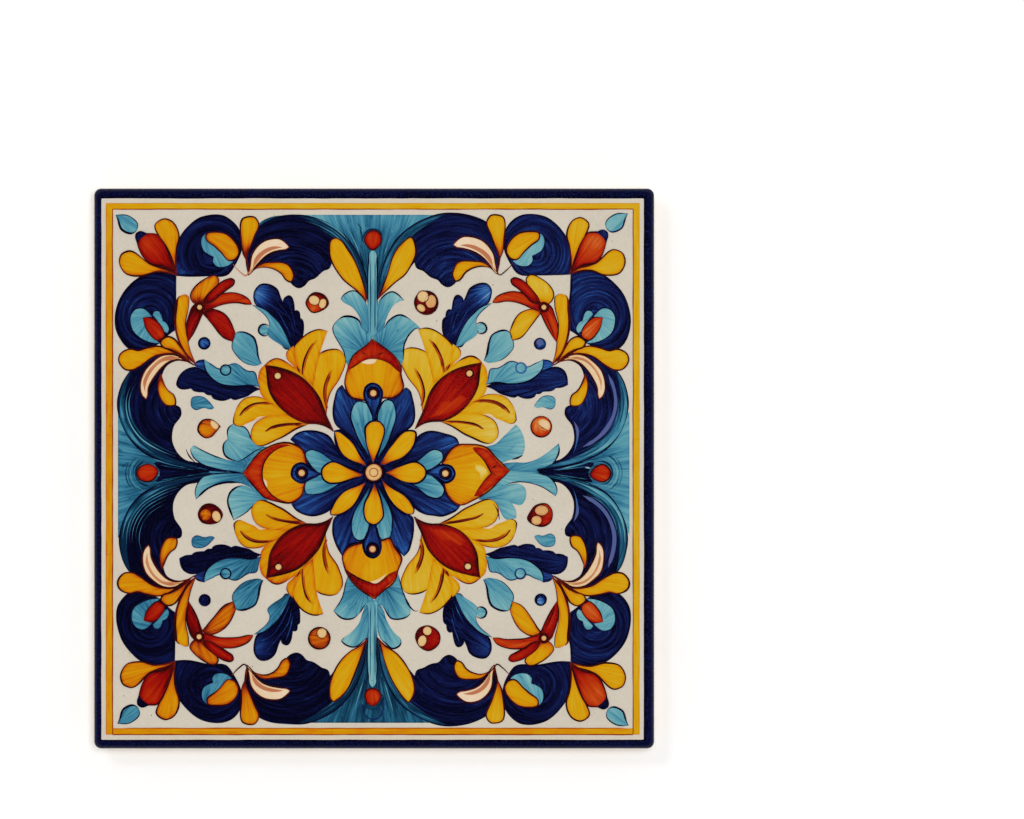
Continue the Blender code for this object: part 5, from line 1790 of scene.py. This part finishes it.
def make_body():
    """The clay: a dented back, tapered sides and a top that lies inside the glaze."""
    half = (BACK_SIDE / 2 - BACK_CHAMFER) / MM
    line = np.linspace(-half, half, BACK_CELLS + 1)
    x, y = np.meshgrid(line, line, indexing="ij")
    depth = dent_depths(x * MM, y * MM, lay_out_dents()) / MM
    points = np.column_stack([x.ravel(), y.ravel(), depth.ravel()])
    n = BACK_CELLS + 1
    faces = []
    for i in range(BACK_CELLS):
        for j in range(BACK_CELLS):
            a = i * n + j
            faces.append([a, a + 1, a + n + 1, a + n])
    rim = [i * n for i in range(n)] + [(n - 1) * n + j for j in range(1, n)]
    rim += [i * n + n - 1 for i in range(n - 2, -1, -1)] + list(range(n - 2, 0, -1))
    loop = points[rim][:, :2] / half
    count = len(rim)
    lip = THICK - LIP_HEIGHT
    rings = []
    for inset, height in ((1.0, 0.5), (0.06, lip - 0.05), (0.06, lip + 0.2), (0.4, lip + 0.6),
                          (0.4, THICK - 1.4), (1.6, THICK - 0.5)):
        rings.append(np.column_stack([rounded_square(loop, HALF - inset), np.full(count, height)]))
    base = len(points)
    previous = rim
    for r, ring in enumerate(rings):
        current = [base + r * count + i for i in range(count)]
        for i in range(count):
            j = (i + 1) % count
            faces.append([previous[i], previous[j], current[j], current[i]])
        previous = current
    faces.append(list(previous))
    mesh = bpy.data.meshes.new("bisque_body")
    mesh.from_pydata((np.vstack([points, *rings]) * MM).tolist(), [], faces)
    wear = mesh.attributes.new("dent", "FLOAT", "POINT")
    values = np.concatenate([depth.ravel(), np.full(len(rings) * count, UNWORN)])
    wear.data.foreach_set("value", values.astype(np.float32))
    mesh.shade_smooth()
    mesh.set_sharp_from_angle(angle=math.radians(BODY_ANGLE))
    return bpy.data.objects.new("bisque_body", mesh)


# %% Fired clay
CLAY = ((0.32, "#d2aa7a"), (0.5, "#debd8f"), (0.68, "#e7cea7"))
CHALK = "#e9e2d2"
CLAY_ROUGHNESS = 0.9
CLAY_CLOUD = 18.0  # millimetres between its paler patches
SAND = 0.6  # millimetres between its grains
SAND_DEPTH = 0.1  # millimetres that they stand out
SCUFF = 3.0  # millimetres between the chalky rubs


def fired_clay():
    """Buff clay fired once: matt, sandy, with a few chalky scuffs on the ridges."""
    material = bpy.data.materials.new("bisque_fired_buff_clay")
    material.use_nodes = True
    tree = material.node_tree
    shader = tree.nodes["Principled BSDF"]
    spot = add(tree, "ShaderNodeTexCoord").outputs["Object"]
    dent = add(tree, "ShaderNodeAttribute", {"attribute_name": "dent"})
    cloud = add(tree, "ShaderNodeTexNoise", Vector=spot, Scale=1 / (CLAY_CLOUD * MM), Detail=3.0)
    sand = add(tree, "ShaderNodeTexNoise", Vector=spot, Scale=1 / (SAND * MM), Detail=3.0)
    grain = add(tree, "ShaderNodeMath", {"operation": "MULTIPLY"}, in0=sand.outputs["Fac"], in1=0.45)
    mixed = add(tree, "ShaderNodeMath", {"operation": "MULTIPLY_ADD"}, in0=cloud.outputs["Fac"], in1=0.55,
                in2=grain.outputs[0])
    clay = add(tree, "ShaderNodeValToRGB", in0=mixed.outputs[0])
    fill_ramp(clay, [(at, to_linear(code)) for at, code in CLAY])
    scuff = add(tree, "ShaderNodeTexNoise", Vector=spot, Scale=1 / (SCUFF * MM), Detail=4.0)
    ridge = add(tree, "ShaderNodeMapRange", in0=dent.outputs["Fac"], From_Min=0.0, From_Max=0.12, To_Min=0.5,
                To_Max=0.0)
    rubbed = add(tree, "ShaderNodeMapRange", in0=scuff.outputs["Fac"], From_Min=0.58, From_Max=0.72)
    share = add(tree, "ShaderNodeMath", {"operation": "MULTIPLY"}, in0=ridge.outputs["Result"],
                in1=rubbed.outputs["Result"])
    colour = add(tree, "ShaderNodeMix", {"data_type": "RGBA"}, in0=share.outputs[0])
    tree.links.new(clay.outputs["Color"], colour.inputs[6])
    colour.inputs[7].default_value = to_linear(CHALK)
    tree.links.new(colour.outputs[2], shader.inputs["Base Color"])
    bump = add(tree, "ShaderNodeBump", Strength=0.5, Distance=SAND_DEPTH * MM, Height=sand.outputs["Fac"])
    tree.links.new(bump.outputs["Normal"], shader.inputs["Normal"])
    shader.inputs["Roughness"].default_value = CLAY_ROUGHNESS
    return material


body = make_body()
body.data.materials.append(fired_clay())
bpy.context.scene.collection.objects.link(body)
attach(body, "root")
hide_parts("tile")
print(f"bisque body: {len(body.data.polygons):,} faces")
